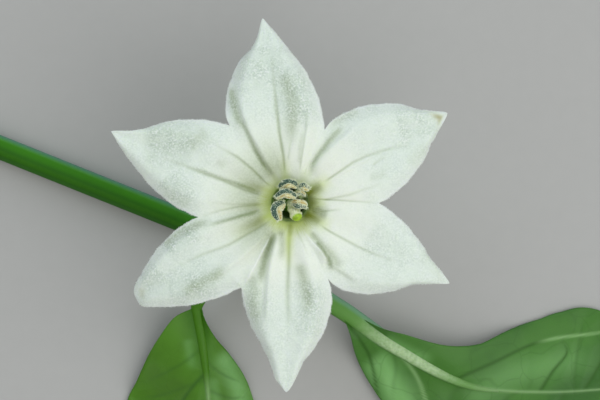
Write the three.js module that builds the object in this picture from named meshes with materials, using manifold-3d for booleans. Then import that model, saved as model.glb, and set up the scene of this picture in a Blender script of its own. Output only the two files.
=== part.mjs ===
// Chili pepper flower, cut with a short stem and two leaves and laid on a surface.
// Millimetres, +Z up. The flower faces up, and its own axis is the vertical line x = 0, y = 0
// until the last lines, which put the origin in the middle of the footprint, on the surface.

import * as THREE from 'three';
import { mergeVertices } from 'three/addons/utils/BufferGeometryUtils.js';
import Module from 'manifold-3d';

const wasm = await Module();
wasm.setup();

// Driving dimensions

const CALYX_Z = 9.7; // underside of the calyx, over the surface that the cut stem lies on
const TUBE_Z = CALYX_Z + 1.85; // lower end of the corolla's tube, inside the calyx
const TUBE_R = 1.1; // inner radius of the tube at its lower end
const MOUTH_Z = CALYX_Z + 4.8; // height of the corolla's mouth, where the tube opens into the lobes
const MOUTH_R = 1.7; // inner radius of the tube at the mouth
const PETAL_THICK = 0.6;
const FUNNEL_RISE = 1.1; // how far the lobes stand above the mouth
const FUNNEL_REACH = 1.2; // how fast that rise levels out
const RECURVE_FROM = 5.0; // radius from which the lobes bend back
const RECURVE = 0.011; // drop of a lobe for each square millimetre past that radius
const FOLD_HEIGHT = 0.55; // height of the two long ridges of a lobe over its midvein
const FOLD_FULL_R = 4.6; // radius at which the folds have their whole height
const RIDGE_AT = 0.62; // place of the ridges, as a share of the lobe's half width
const MIDVEIN_LEVEL = 0.2; // height of the midvein's floor, as a share of the fold height
const SHOULDER_R = 7.1; // radius at which the lobes part from each other, on their midveins
const GAP = 0.25; // clearance between pieces that touch on the plant

// One entry for each lobe, counter-clockwise. Angles are in degrees from +X, reaches are distances
// from the flower's axis. The notch is the one on the lobe's clockwise side. Full and taper shape
// the lobe's clockwise and counter-clockwise edge. Curl lifts the tip, reflex drops an edge.
const LOBES = [
  { tip: 29.3, reach: 13.9, notch: 0, notchReach: 6.8, full: [0.05, 0.35], taper: [0.1, 0.05],
    curl: -0.3, reflex: [0.35, 0.45] },
  { tip: 98.6, reach: 14.35, notch: 64.7, notchReach: 6.2, full: [-0.05, 0.35], taper: [0.1, 0.15],
    curl: -0.5, reflex: [0.3, 0.9] },
  { tip: 158.3, reach: 14.75, notch: 127.9, notchReach: 7.5, full: [0, 0], taper: [0.15, 0.08],
    curl: 0.6, reflex: [0.3, 0.6] },
  { tip: 210.8, reach: 13.9, notch: 188.8, notchReach: 7.1, full: [0.2, -0.2], taper: [-0.05, -0.15],
    curl: -1.2, reflex: [0.7, 0.3] },
  { tip: 269.1, reach: 14.5, notch: 240.4, notchReach: 7.5, full: [0, 0.4], taper: [0.2, 0.15],
    curl: 0.2, reflex: [0.8, 0.35] },
  { tip: 333.1, reach: 13.7, notch: 296.7, notchReach: 6.5, full: [0.33, -0.05], taper: [0.23, 0.15],
    curl: -0.2, reflex: [0.5, 0.3] },
];
const COLUMNS = 12; // steps across a lobe
const TUBE_ROWS = 2;
const INNER_ROWS = 4; // steps from the mouth to the notches
const OUTER_ROWS = 7; // steps from the notches to the tip

// Stamens and pistil. Each anther is a bent rod, given by its two ends and the middle of its bend,
// with heights over the mouth.
const ANTHERS = [
  { from: [0.54, 1.22, 0.9], mid: [-0.1, 1.52, 1.4], to: [-0.85, 1.12, 1.0], thick: 0.36 },
  { from: [0.46, 0.42, 1.3], mid: [-0.3, 0.76, 1.95], to: [-1.1, 0.4, 1.5], thick: 0.33 },
  { from: [-0.4, 0, 1.1], mid: [-1.0, -0.4, 1.6], to: [-0.8, -1.35, 1.3], thick: 0.42 },
  { from: [0.72, 1.02, 0.85], mid: [1.05, 1.25, 1.2], to: [1.5, 1.05, 1.05], thick: 0.28 },
  { from: [0.08, 0, 0.8], mid: [0.72, -0.06, 1.35], to: [1.3, -0.25, 1.1], thick: 0.34 },
  { from: [0.42, 0.6, 0.4], mid: [0.76, 0.7, 0.85], to: [1.2, 0.5, 0.6], thick: 0.22 },
];
const FILAMENT_ANGLES = [110, 170, 215, 62, 350, 25];
const FILAMENT_R = 0.2;
const FILAMENT_ROOT = 0.85; // height of a filament's root over the tube's lower end
const FILAMENT_SUNK = 0.3; // depth of the root in the tube's wall
const FILAMENT_BEND_R = 0.95;
const OVARY_R = 0.75;
const OVARY_HEIGHT = 1.9;
const STYLE_R = 0.27;
const STIGMA_R = 0.42;
const STIGMA_AT = [0.62, -1.2, 1.6]; // height over the mouth
const OVARY_SHARE = 1 / 3; // the ovary's share of the pistil's length
const STIGMA_FROM = 0.84; // share of the pistil's length at which the style widens to the stigma
const STIGMA_WIDENING = 0.08;
const ANTHER_END = 0.35; // radius of an anther's ends, as a share of its thickest radius

// Calyx and stalks
const CALYX_HEIGHT = 3.1;
const CALYX_R = 2.5;
const CALYX_FLOOR = 1.6; // thickness of the calyx's floor
const CALYX_TEETH = 6;
const CALYX_SIDES = 36;
const CALYX_TOOTH = 0.25; // half the height of the rim's teeth
const CALYX_RIB = 0.07;
const JOINT_AT = [-2.0, -4.0, 1.5]; // middle of the stem's swollen joint
const JOINT_R = 1.4;
const STEM_R = 0.96;
const STEM_END = [-26.2, 5.7];
const STEM_SIDES = 10;
const STEM_REACH = 1.04; // the stem ends just past the middle of its joint
const STEM_LEVEL = 0.6; // share of the stem that lies level
const SWELL_FROM = 0.72; // share of the stem's length at which the joint begins to swell
const SWELL_LENGTH = 0.18;
const STEM_TIP = 0.6; // radius of the stem's hidden end, as a share of the joint's
const PEDICEL_R = [0.6, 0.85];
const PEDICEL_WIDENS_FROM = 0.55; // share of the stalk's length

// Leaves. The rib's points give the blade's underside, which lies flat on the surface wherever it
// would fall below it. The edges give pairs of a place along the rib, as a share of its length, and
// the half width there, first on the clockwise side. Cup is how far each edge stands over the rib
// near the stalk, and wave is how far it ripples.
const LEAF_RIGHT = {
  stalk: [[-0.5, -5.05, 1.7], [1.4, -6.6, 2.5], [3.2, -7.9, 2.8]],
  rib: [[4.3, -8.6, 2.2], [8.4, -11.4, 1.8], [14.3, -14.5, 0.5], [19.8, -15, -0.15],
    [24.5, -14.8, -0.2], [30, -14.2, -0.1], [35.4, -13.3, 0.9]],
  edges: [
    [[0, 0.3], [0.05, 1.3], [0.1, 2.5], [0.2, 4.3], [0.38, 7.3], [0.62, 6.6], [0.85, 2.7], [1, 0.25]],
    [[0.1, 0.3], [0.16, 1.15], [0.24, 2], [0.31, 3.2], [0.39, 4.5], [0.47, 5.5], [0.56, 6.3], [0.68, 6.3],
      [0.87, 2.8], [1, 0.25]],
  ],
  cup: [0.4, 2.6],
  wave: [0.45, 0.35],
  stalkR: 0.74,
};
const LEAF_LOWER = {
  stalk: [[-3.65, -5.3, 1.45], [-5.4, -6.2, 2.2], [-6.9, -7.4, 2.5]],
  rib: [[-7.4, -8.3, 2], [-6.9, -11.5, 1.6], [-6.5, -15.6, 0.5], [-6.4, -20.5, -0.15], [-6.4, -25, -0.15],
    [-6.6, -30.6, 0.8]],
  edges: [
    [[0, 0.4], [0.03, 1.9], [0.12, 3.4], [0.21, 4.5], [0.3, 5.5], [0.4, 6.5], [0.6, 6.8], [0.85, 2.6],
      [1, 0.25]],
    [[0, 0.3], [0.09, 0.65], [0.17, 1.2], [0.24, 2.05], [0.32, 2.95], [0.4, 3.5], [0.6, 4.6], [0.85, 2.3],
      [1, 0.25]],
  ],
  cup: [0.9, 0.6],
  wave: [0.4, 0.4],
  stalkR: 0.45,
};
const LEAF_ROWS = 20;
const LEAF_COLUMNS = 12;
const BLADE_THICK = 0.6;
const VEIN_END_R = 0.2;
const VEIN_STEPS = 9;
const VEIN_REACH = 0.92; // share of the blade's length that the raised midrib runs along
const VEIN_THINS_TO = 0.75; // share of the stalk and midrib at which they are at their thinnest
const WAVES = 5; // half waves along an edge
const CUP_FULL_AT = 0.35; // share of the blade's length at which its sides fold up fully
const CUP_ENDS_AT = 0.62;
const CUP_FADES_OVER = 0.5;

const COLOURS = {
  corolla: '#dfe9df',
  anther: '#4c6a5d',
  pistil: '#a9bf4a',
  calyx: '#4f7d33',
  pedicel: '#4a7a2e',
  stem: '#33690d',
  leaf_right: '#4a7b33',
  leaf_lower: '#3f6e33',
};
const ROUGHNESS = 0.6;
const MERGE = 1e-4;

// Small helpers

const mix = (a, b, t) => a + (b - a) * t;
const clamp01 = (t) => Math.min(1, Math.max(0, t));
const smooth = (t) => clamp01(t) ** 2 * (3 - 2 * clamp01(t));
const polar = (radius, degrees) => {
  const turn = THREE.MathUtils.degToRad(degrees);
  return [radius * Math.cos(turn), radius * Math.sin(turn)];
};

// A geometry from triangles that are each three [x, y, z] points. Points that coincide are merged,
// and triangles that this leaves without an area are dropped.
function geometryOf(triangles) {
  const loose = new THREE.BufferGeometry();
  loose.setAttribute('position', new THREE.Float32BufferAttribute(triangles.flat(2), 3));
  const geometry = mergeVertices(loose, MERGE);
  const index = [...geometry.index.array];
  const kept = [];
  for (let first = 0; first < index.length; first += 3) {
    const [a, b, c] = index.slice(first, first + 3);
    if (a !== b && b !== c && c !== a) {
      kept.push(a, b, c);
    }
  }
  geometry.setIndex(kept);
  return geometry;
}

// Two facing grids of points, rows outward and columns counter-clockwise, as triangles. Both are
// split along the same diagonals, so that thin waved walls can't cross.
function facingGrids(upper, lower) {
  const triangles = [];
  for (let row = 0; row < upper.length - 1; row += 1) {
    for (let column = 0; column < upper[row].length - 1; column += 1) {
      const corners = (grid) => [
        grid[row][column],
        grid[row][column + 1],
        grid[row + 1][column + 1],
        grid[row + 1][column],
      ];
      const [a, b, c, d] = corners(upper);
      triangles.push([a, c, b], [a, d, c]);
      const [e, f, g, h] = corners(lower);
      triangles.push([e, f, g], [e, g, h]);
    }
  }
  return triangles;
}

// The wall between an upper and a lower line of points. It faces left of the way that they run.
function wall(upper, lower) {
  const triangles = [];
  for (let step = 0; step < upper.length - 1; step += 1) {
    triangles.push([upper[step], upper[step + 1], lower[step + 1]]);
    triangles.push([upper[step], lower[step + 1], lower[step]]);
  }
  return triangles;
}

const columnOf = (grid, column) => grid.map((row) => row.at(column));

const overMouth = ([x, y, height]) => [x, y, MOUTH_Z + height];

// Even steps from -1 to 1.
const acrossSteps = (count) => Array.from({ length: count + 1 }, (_, step) => (2 * step) / count - 1);

// A rod along a curve, closed by flat ends. radiusAt gives its radius at each share of the curve.
// Up is any direction that the curve never runs in.
function rod({ path, radiusAt, steps, sides, up = [0, 0, 1] }) {
  const upward = new THREE.Vector3(...up);
  const rings = [];
  for (let step = 0; step <= steps; step += 1) {
    const t = step / steps;
    const centre = path.getPoint(t);
    const along = path.getTangent(t);
    const across = new THREE.Vector3().crossVectors(along, upward).normalize();
    const raised = new THREE.Vector3().crossVectors(across, along).normalize();
    const ring = [];
    for (let side = 0; side < sides; side += 1) {
      const turn = (2 * Math.PI * (side + 0.5)) / sides;
      const point = centre.clone();
      point.addScaledVector(across, -radiusAt(t) * Math.sin(turn));
      point.addScaledVector(raised, -radiusAt(t) * Math.cos(turn));
      ring.push(point.toArray());
    }
    rings.push(ring);
  }
  return ringedBody(path.getPoint(0).toArray(), rings, path.getPoint(1).toArray());
}

// A closed body from rings of points between a first and a last hub.
function ringedBody(first, rings, last) {
  const triangles = [];
  const sides = rings[0].length;
  for (let side = 0; side < sides; side += 1) {
    const next = (side + 1) % sides;
    triangles.push([first, rings[0][next], rings[0][side]]);
    triangles.push([last, rings.at(-1)[side], rings.at(-1)[next]]);
    for (let step = 0; step < rings.length - 1; step += 1) {
      const [a, b] = [rings[step][side], rings[step][next]];
      const [c, d] = [rings[step + 1][next], rings[step + 1][side]];
      triangles.push([a, b, c], [a, c, d]);
    }
  }
  return geometryOf(triangles);
}

// A curve through points with a straight start and end.
function curveThrough(...points) {
  return new THREE.CatmullRomCurve3(points.map((point) => new THREE.Vector3(...point)));
}

function solidOf(geometry) {
  return new wasm.Manifold(new wasm.Mesh({
    numProp: 3,
    vertProperties: new Float32Array(geometry.attributes.position.array),
    triVerts: new Uint32Array(geometry.index.array),
  }));
}

// One body grown together from several overlapping ones.
function grownTogether(geometries) {
  const whole = geometries.map(solidOf).reduce((solid, other) => solid.add(other));
  const mesh = whole.getMesh();
  const geometry = new THREE.BufferGeometry();
  geometry.setAttribute('position', new THREE.BufferAttribute(mesh.vertProperties, 3));
  geometry.setIndex(new THREE.BufferAttribute(mesh.triVerts, 1));
  return geometry;
}

// Corolla

// The edge of one half of a lobe, from its notch (t = 0) to its tip (t = 1). The angle runs evenly,
// and the reach swells past a straight rise by full and draws in to a point by taper.
function lobeEdge(lobe, half, t) {
  const next = LOBES[(LOBES.indexOf(lobe) + 1) % LOBES.length];
  const notch = half === 0 ? lobe.notch : next.notch + (next.notch < lobe.tip ? 360 : 0);
  const notchReach = half === 0 ? lobe.notchReach : next.notchReach;
  const swell = lobe.full[half] * (Math.sqrt(t) - t);
  const draw = lobe.taper[half] * (t - t ** 10);
  return { reach: mix(notchReach, lobe.reach, t + swell - draw), angle: mix(notch, lobe.tip, t) };
}

// Height of the corolla's inner face at a distance from the axis, before the folds.
function openHeight(radius) {
  const rise = FUNNEL_RISE * (1 - Math.exp((MOUTH_R - radius) / FUNNEL_REACH));
  return MOUTH_Z + rise - RECURVE * Math.max(0, radius - RECURVE_FROM) ** 2;
}

// Folds across a lobe: place is 0 at the midvein and 1 at an edge, with a ridge between them.
function foldAcross(place) {
  if (place < RIDGE_AT) {
    return MIDVEIN_LEVEL + 0.5 * (1 - MIDVEIN_LEVEL) * (1 - Math.cos((Math.PI * place) / RIDGE_AT));
  }
  return 0.5 * (1 + Math.cos((Math.PI * (place - RIDGE_AT)) / (1 - RIDGE_AT)));
}

// A point of a lobe's inner face. Side is -1 at its clockwise edge, 0 at the midvein and 1 at the
// other edge. Along is 0 at the mouth, 1 at the notches and 2 at the tip.
function petalPoint(lobe, side, along) {
  const half = side < 0 ? 0 : 1;
  const place = Math.abs(side);
  const outward = clamp01(along - 1);
  const inward = clamp01(along);
  const edge = lobeEdge(lobe, half, outward);
  const edgeAt = polar(edge.reach, edge.angle);
  const middleAt = polar(mix(SHOULDER_R, lobe.reach, outward), lobe.tip);
  const mouthAt = polar(MOUTH_R, mix(lobe.tip, edge.angle, place));
  const x = mix(mouthAt[0], mix(middleAt[0], edgeAt[0], place), inward);
  const y = mix(mouthAt[1], mix(middleAt[1], edgeAt[1], place), inward);
  const radius = Math.hypot(x, y);
  const opening = smooth((radius - MOUTH_R) / (FOLD_FULL_R - MOUTH_R));
  const fold = FOLD_HEIGHT * opening * (1 - outward ** 2) * foldAcross(place);
  const drop = 4 * lobe.reflex[half] * outward * (1 - outward) * place ** 4;
  const curl = lobe.curl * outward ** 4;
  return [x, y, openHeight(radius) + fold - drop + curl];
}

// The point behind a point of the inner face, one wall thickness away from it. Slope is the rise
// of the inner face for each millimetre away from the axis.
function behind([x, y, z], slope) {
  const radius = Math.hypot(x, y);
  const shift = PETAL_THICK / Math.hypot(1, slope);
  const wider = (radius + slope * shift) / radius;
  return [x * wider, y * wider, z - shift];
}

function limbSlope(radius) {
  const opening = (FUNNEL_RISE / FUNNEL_REACH) * Math.exp((MOUTH_R - radius) / FUNNEL_REACH);
  return opening - 2 * RECURVE * Math.max(0, radius - RECURVE_FROM);
}

// The tube widens slowly at first and faster towards the mouth.
function tubeRadius(height) {
  return mix(TUBE_R, MOUTH_R, clamp01((height - TUBE_Z) / (MOUTH_Z - TUBE_Z)) ** 2);
}

function tubeSlope(height) {
  const share = clamp01((height - TUBE_Z) / (MOUTH_Z - TUBE_Z));
  return (MOUTH_Z - TUBE_Z) / (2 * (MOUTH_R - TUBE_R) * Math.max(share, 0.01));
}

// One lobe with its share of the tube, as triangles that join its neighbours' without a wall.
function lobeTriangles(lobe) {
  const inner = [];
  const outer = [];
  const sides = acrossSteps(COLUMNS);
  for (let row = 0; row < TUBE_ROWS; row += 1) {
    const height = mix(TUBE_Z, MOUTH_Z, row / TUBE_ROWS);
    const ring = sides.map((side) => {
      const angle = mix(lobe.tip, lobeEdge(lobe, side < 0 ? 0 : 1, 0).angle, Math.abs(side));
      return [...polar(tubeRadius(height), angle), height];
    });
    inner.push(ring);
    outer.push(ring.map((point) => behind(point, tubeSlope(height))));
  }
  const firstOuterRow = TUBE_ROWS + INNER_ROWS;
  for (let row = 0; row <= INNER_ROWS + OUTER_ROWS; row += 1) {
    const along = row < INNER_ROWS ? row / INNER_ROWS : 1 + (row - INNER_ROWS) / OUTER_ROWS;
    const line = sides.map((side) => petalPoint(lobe, side, along));
    inner.push(line);
    outer.push(line.map((point) => behind(point, limbSlope(Math.hypot(point[0], point[1])))));
  }
  const clockwiseEdge = (grid) => columnOf(grid.slice(firstOuterRow), 0).reverse();
  const otherEdge = (grid) => columnOf(grid.slice(firstOuterRow), -1);
  return [
    ...facingGrids(inner, outer),
    ...wall(inner[0], outer[0]),
    ...wall(clockwiseEdge(inner), clockwiseEdge(outer)),
    ...wall(otherEdge(inner), otherEdge(outer)),
  ];
}

// A filament grows from the inside of the tube and ends just under its anther.
function filament(anther, angle) {
  const rootZ = TUBE_Z + FILAMENT_ROOT;
  const root = polar(tubeRadius(rootZ) + FILAMENT_SUNK, angle);
  const bend = polar(FILAMENT_BEND_R, angle);
  const [x, y, z] = overMouth(anther.mid);
  return rod({
    path: curveThrough([...root, rootZ], [...bend, MOUTH_Z - 1], [x, y, z - anther.thick - GAP]),
    radiusAt: (t) => mix(FILAMENT_R, 0.7 * FILAMENT_R, t),
    steps: 5,
    sides: 6,
    up: [0, 1, 0],
  });
}

function corolla() {
  const bloom = geometryOf(LOBES.flatMap(lobeTriangles));
  const filaments = ANTHERS.map((anther, place) => filament(anther, FILAMENT_ANGLES[place]));
  return grownTogether([bloom, ...filaments]);
}

// Stamens and pistil

function antherBody({ from, mid, to, thick }) {
  return rod({
    path: curveThrough(overMouth(from), overMouth(mid), overMouth(to)),
    radiusAt: (t) => thick * Math.max(ANTHER_END, Math.sin(Math.PI * mix(0.1, 0.9, t))),
    steps: 8,
    sides: 8,
    up: [0.1, 0, 1],
  });
}

// The ovary is an egg shape, which the style leaves at its top and carries to the stigma's knob.
function pistil() {
  const stigmaRadius = (t) => mix(STYLE_R, STIGMA_R, smooth((t - STIGMA_FROM) / STIGMA_WIDENING));
  return rod({
    path: curveThrough(
      [0, 0, TUBE_Z],
      [0, 0, TUBE_Z + OVARY_HEIGHT],
      overMouth([0.15, -0.3, 0.2]),
      overMouth(STIGMA_AT),
    ),
    radiusAt: (t) => {
      if (t < OVARY_SHARE) {
        return mix(STYLE_R, OVARY_R, Math.sin(Math.PI * mix(0.2, 1, t / OVARY_SHARE)));
      }
      return t < 1 ? stigmaRadius(t) : STYLE_R;
    },
    steps: 18,
    sides: 10,
    up: [0, 1, 0],
  });
}

// Calyx

// A cup on a thick floor. Its rim rises in short teeth, and each tooth has a rib below it.
function calyx() {
  const rim = CALYX_Z + CALYX_HEIGHT;
  const floor = CALYX_Z + CALYX_FLOOR;
  const profile = [
    [0.95, CALYX_Z, 0],
    [1.6, CALYX_Z + 0.45, 0],
    [2.2, CALYX_Z + 1.3, 0.3],
    [CALYX_R, CALYX_Z + 2.2, 0.6],
    [CALYX_R, rim - 0.2, 1],
    [CALYX_R - 0.2, rim, 1],
    [CALYX_R - 0.38, rim - 0.2, 1],
    [CALYX_R - 0.45, CALYX_Z + 2.1, 0.3],
    [CALYX_R - 0.75, floor, 0],
  ];
  const rings = profile.map(([radius, height, toothed], place) => {
    const ring = [];
    for (let side = 0; side < CALYX_SIDES; side += 1) {
      const wave = Math.cos((2 * Math.PI * CALYX_TEETH * side) / CALYX_SIDES);
      const rib = place < 5 && place > 0 ? CALYX_RIB * wave : 0;
      const angle = (360 * side) / CALYX_SIDES;
      ring.push([...polar(radius + rib, angle), height + CALYX_TOOTH * toothed * wave]);
    }
    return ring;
  });
  return ringedBody([0, 0, CALYX_Z], rings, [0, 0, floor]);
}

// Stem and flower stalk

// The stem lies level along the surface on a flat side, and rises and swells at the joint.
function stem() {
  const level = STEM_R * Math.cos(Math.PI / STEM_SIDES);
  const line = new THREE.Curve();
  line.getPoint = (t) => new THREE.Vector3(
    mix(STEM_END[0], JOINT_AT[0], STEM_REACH * t),
    mix(STEM_END[1], JOINT_AT[1], STEM_REACH * t),
    mix(level, JOINT_AT[2], smooth((t - STEM_LEVEL) / (1 - STEM_LEVEL))),
  );
  return rod({
    path: line,
    radiusAt: (t) => {
      const radius = mix(STEM_R, JOINT_R, smooth((t - SWELL_FROM) / SWELL_LENGTH));
      return t < 1 ? radius : STEM_TIP * radius;
    },
    steps: 16,
    sides: STEM_SIDES,
  });
}

// The flower's stalk leaves the joint upwards, bends over and thickens towards the calyx.
function pedicel() {
  const [x, y, z] = JOINT_AT;
  return rod({
    path: curveThrough(
      [x - 0.1, y + 0.3, z + JOINT_R + GAP],
      [x - 0.5, y + 0.9, z + JOINT_R + 1.6],
      [x + 0.1, y + 1.9, z + JOINT_R + 3.2],
      [-0.5, -0.6, CALYX_Z - 1.9],
      [-0.05, -0.05, CALYX_Z - 0.9],
      [0, 0, CALYX_Z - GAP],
    ),
    radiusAt: (t) => {
      const widening = smooth((t - PEDICEL_WIDENS_FROM) / (1 - PEDICEL_WIDENS_FROM));
      return mix(PEDICEL_R[0], PEDICEL_R[1], widening);
    },
    steps: 14,
    sides: 8,
    up: [0, 1, 0],
  });
}

// Leaves

// The blade's height over its rib: its sides fold up near the stalk, lie flat further out, and
// their edges ripple.
function bladeLift(t, place, cup, wave) {
  const fold = cup * place * smooth(t / CUP_FULL_AT) * smooth((CUP_ENDS_AT - t) / CUP_FADES_OVER);
  const ripple = wave * Math.sin(WAVES * Math.PI * t) * place ** 2;
  return fold + ripple;
}

function leaf({ stalk, rib, edges, cup, wave, stalkR }) {
  const line = curveThrough(...rib);
  const edgeLines = edges.map((pairs) => {
    const points = pairs.map(([share, width]) => new THREE.Vector2(share, width));
    return new THREE.SplineCurve(points);
  });
  const sides = acrossSteps(LEAF_COLUMNS);
  const underside = (t, side) => {
    const half = side < 0 ? 0 : 1;
    const place = Math.abs(side);
    const centre = line.getPoint(t);
    const edge = edgeLines[half].getPoint(t);
    const foot = line.getPoint(edge.x);
    const tangent = line.getTangent(edge.x);
    const out = (side < 0 ? -1 : 1) * (edge.y / Math.hypot(tangent.x, tangent.y));
    const height = centre.z + bladeLift(t, place, cup[half], wave[half]);
    return [
      mix(centre.x, foot.x - tangent.y * out, place),
      mix(centre.y, foot.y + tangent.x * out, place),
      Math.max(0, height),
    ];
  };
  const rows = Array.from({ length: LEAF_ROWS + 1 }, (_, row) => row / LEAF_ROWS);
  const lower = rows.map((t) => sides.map((side) => underside(t, side)));
  const upper = lower.map((row) => row.map(([x, y, z]) => [x, y, z + BLADE_THICK]));
  const blade = geometryOf([
    ...facingGrids(upper, lower),
    ...wall(upper[0], lower[0]),
    ...wall([...upper.at(-1)].reverse(), [...lower.at(-1)].reverse()),
    ...wall(columnOf(upper, 0).reverse(), columnOf(lower, 0).reverse()),
    ...wall(columnOf(upper, -1), columnOf(lower, -1)),
  ]);
  const raised = Array.from({ length: VEIN_STEPS }, (_, step) => {
    const { x, y, z } = line.getPoint((step * VEIN_REACH) / (VEIN_STEPS - 1));
    return [x, y, Math.max(0, z) + BLADE_THICK];
  });
  const stalkShare = stalk.length / (stalk.length + VEIN_STEPS - 1);
  const vein = rod({
    path: curveThrough(...stalk, ...raised),
    radiusAt: (t) => mix(stalkR, VEIN_END_R, smooth((t - stalkShare) / (VEIN_THINS_TO - stalkShare))),
    steps: 22,
    sides: 8,
  });
  return grownTogether([blade, vein]);
}

// The object

const group = new THREE.Group();

function place(name, geometry, colour) {
  const material = new THREE.MeshStandardMaterial({ color: colour, roughness: ROUGHNESS, metalness: 0 });
  const mesh = new THREE.Mesh(geometry, material);
  mesh.name = name;
  group.add(mesh);
}

place('corolla', corolla(), COLOURS.corolla);
ANTHERS.forEach((anther, number) => place(`anther_${number + 1}`, antherBody(anther), COLOURS.anther));
place('pistil', pistil(), COLOURS.pistil);
place('calyx', calyx(), COLOURS.calyx);
place('pedicel', pedicel(), COLOURS.pedicel);
place('stem', stem(), COLOURS.stem);
place('leaf_right', leaf(LEAF_RIGHT), COLOURS.leaf_right);
place('leaf_lower', leaf(LEAF_LOWER), COLOURS.leaf_lower);

const footprint = new THREE.Box3().setFromObject(group);
const middle = footprint.getCenter(new THREE.Vector3());
group.position.set(-middle.x, -middle.y, 0);

export default group;
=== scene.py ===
import bpy
import numpy as np
from bpy.props import FloatProperty, FloatVectorProperty, IntProperty, PointerProperty
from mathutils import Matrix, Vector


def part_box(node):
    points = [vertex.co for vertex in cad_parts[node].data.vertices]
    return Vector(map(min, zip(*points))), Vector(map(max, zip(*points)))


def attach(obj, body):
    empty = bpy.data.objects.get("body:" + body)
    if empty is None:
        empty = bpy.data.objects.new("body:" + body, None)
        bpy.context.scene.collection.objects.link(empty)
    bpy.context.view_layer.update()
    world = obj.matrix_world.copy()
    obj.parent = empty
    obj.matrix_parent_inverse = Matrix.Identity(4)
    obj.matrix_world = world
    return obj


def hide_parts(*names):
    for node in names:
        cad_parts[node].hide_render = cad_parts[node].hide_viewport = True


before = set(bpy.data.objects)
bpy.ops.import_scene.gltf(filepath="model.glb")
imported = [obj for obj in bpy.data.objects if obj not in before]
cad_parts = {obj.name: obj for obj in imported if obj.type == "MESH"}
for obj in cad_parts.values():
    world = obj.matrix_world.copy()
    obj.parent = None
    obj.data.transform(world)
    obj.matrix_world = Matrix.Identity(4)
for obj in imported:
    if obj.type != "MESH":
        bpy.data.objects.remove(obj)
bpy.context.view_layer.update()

bl_info = {
    "name": "Chili pepper flower",
    "version": (1, 0, 0),
    "blender": (4, 5, 0),
    "location": "View3D > Sidebar > Flower",
    "description": "Dresses a cut chili pepper flower with fine lobes, stamens, stalks and leaves",
    "category": "Object",
}

# Every size below is in millimetres, in the flower's own frame: its axis is x = 0, y = 0, and the
# surface that it lies on is z = 0. The calyx stands round that axis, so its box gives the axis.
MM = 0.001
PER_MM = 1 / MM
CALYX_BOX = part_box("calyx")
AXIS = (CALYX_BOX[0] + CALYX_BOX[1]) / 2
TURN = 2 * np.pi

# The corolla: the tube's foot and mouth, the funnel's rise over the mouth and the radius over which
# it levels out, where and how fast the lobes bend back, and the height of the folds, the radius at
# which they are full, the ridge's place as a share of half a lobe, the midvein's level as a share of
# the ridge's, and the radius at which the midvein passes the notches.
CALYX_Z = CALYX_BOX[0].z / MM
TUBE_Z = CALYX_Z + 1.85
TUBE_R = 1.1
MOUTH_Z = CALYX_Z + 4.8
MOUTH_R = 1.5
FUNNEL_RISE = 1.1
FUNNEL_REACH = 1.2
RECURVE_FROM = 5.0
RECURVE = 0.011
FOLD_HEIGHT = 0.55
FOLD_FULL_R = 4.6
RIDGE_AT = 0.62
MIDVEIN_LEVEL = 0.2
SHOULDER_R = 7.1

# One row for each lobe, counter-clockwise: the tip's angle and reach, the angle and reach of the
# notch on its clockwise side, full and taper for its clockwise and other edge, the tip's lift, and
# how far each edge drops.
LOBES = np.array([
    [29.3, 13.9, 0, 6.8, 0.05, 0.35, 0.1, 0.05, -0.3, 0.35, 0.45],
    [98.6, 14.342, 64.7, 6.2, -0.05, 0.35, 0.1, 0.15, -0.5, 0.3, 0.9],
    [158.3, 14.75, 127.9, 7.5, 0, 0, 0.15, 0.08, 0.6, 0.3, 0.6],
    [210.8, 13.9, 188.8, 7.1, 0.2, -0.2, -0.05, -0.15, -1.2, 0.7, 0.3],
    [269.1, 14.5, 240.4, 7.5, 0, 0.4, 0.2, 0.15, 0.2, 0.8, 0.35],
    [333.1, 13.7, 296.7, 6.5, 0.33, -0.05, 0.23, 0.15, -0.2, 0.5, 0.3],
])

# How each lobe ends: how far the clockwise and the other edge draw in beside the tip, how far the tip
# bends aside, its half width, the height of the ridge on each side as a share of the fold height,
# and how brown the tip is.
LOBE_FINISH = np.array([
    [0.2, 0.3, 0.1, 0.15, 0.35, 0.8, 0.75],
    [0.0, 0.45, -0.05, 0.07, 0.85, 0.8, 0.0],
    [0.3, -0.08, -0.04, 0.07, 0.55, 0.5, 0.0],
    [0.15, -0.05, 0.06, 0.3, 0.75, 0.8, 0.25],
    [-0.35, 0.25, -0.05, 0.28, 0.6, 0.8, 0.0],
    [0.2, 0.05, 0.04, 0.13, 0.5, 0.25, 0.1],
])

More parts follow.
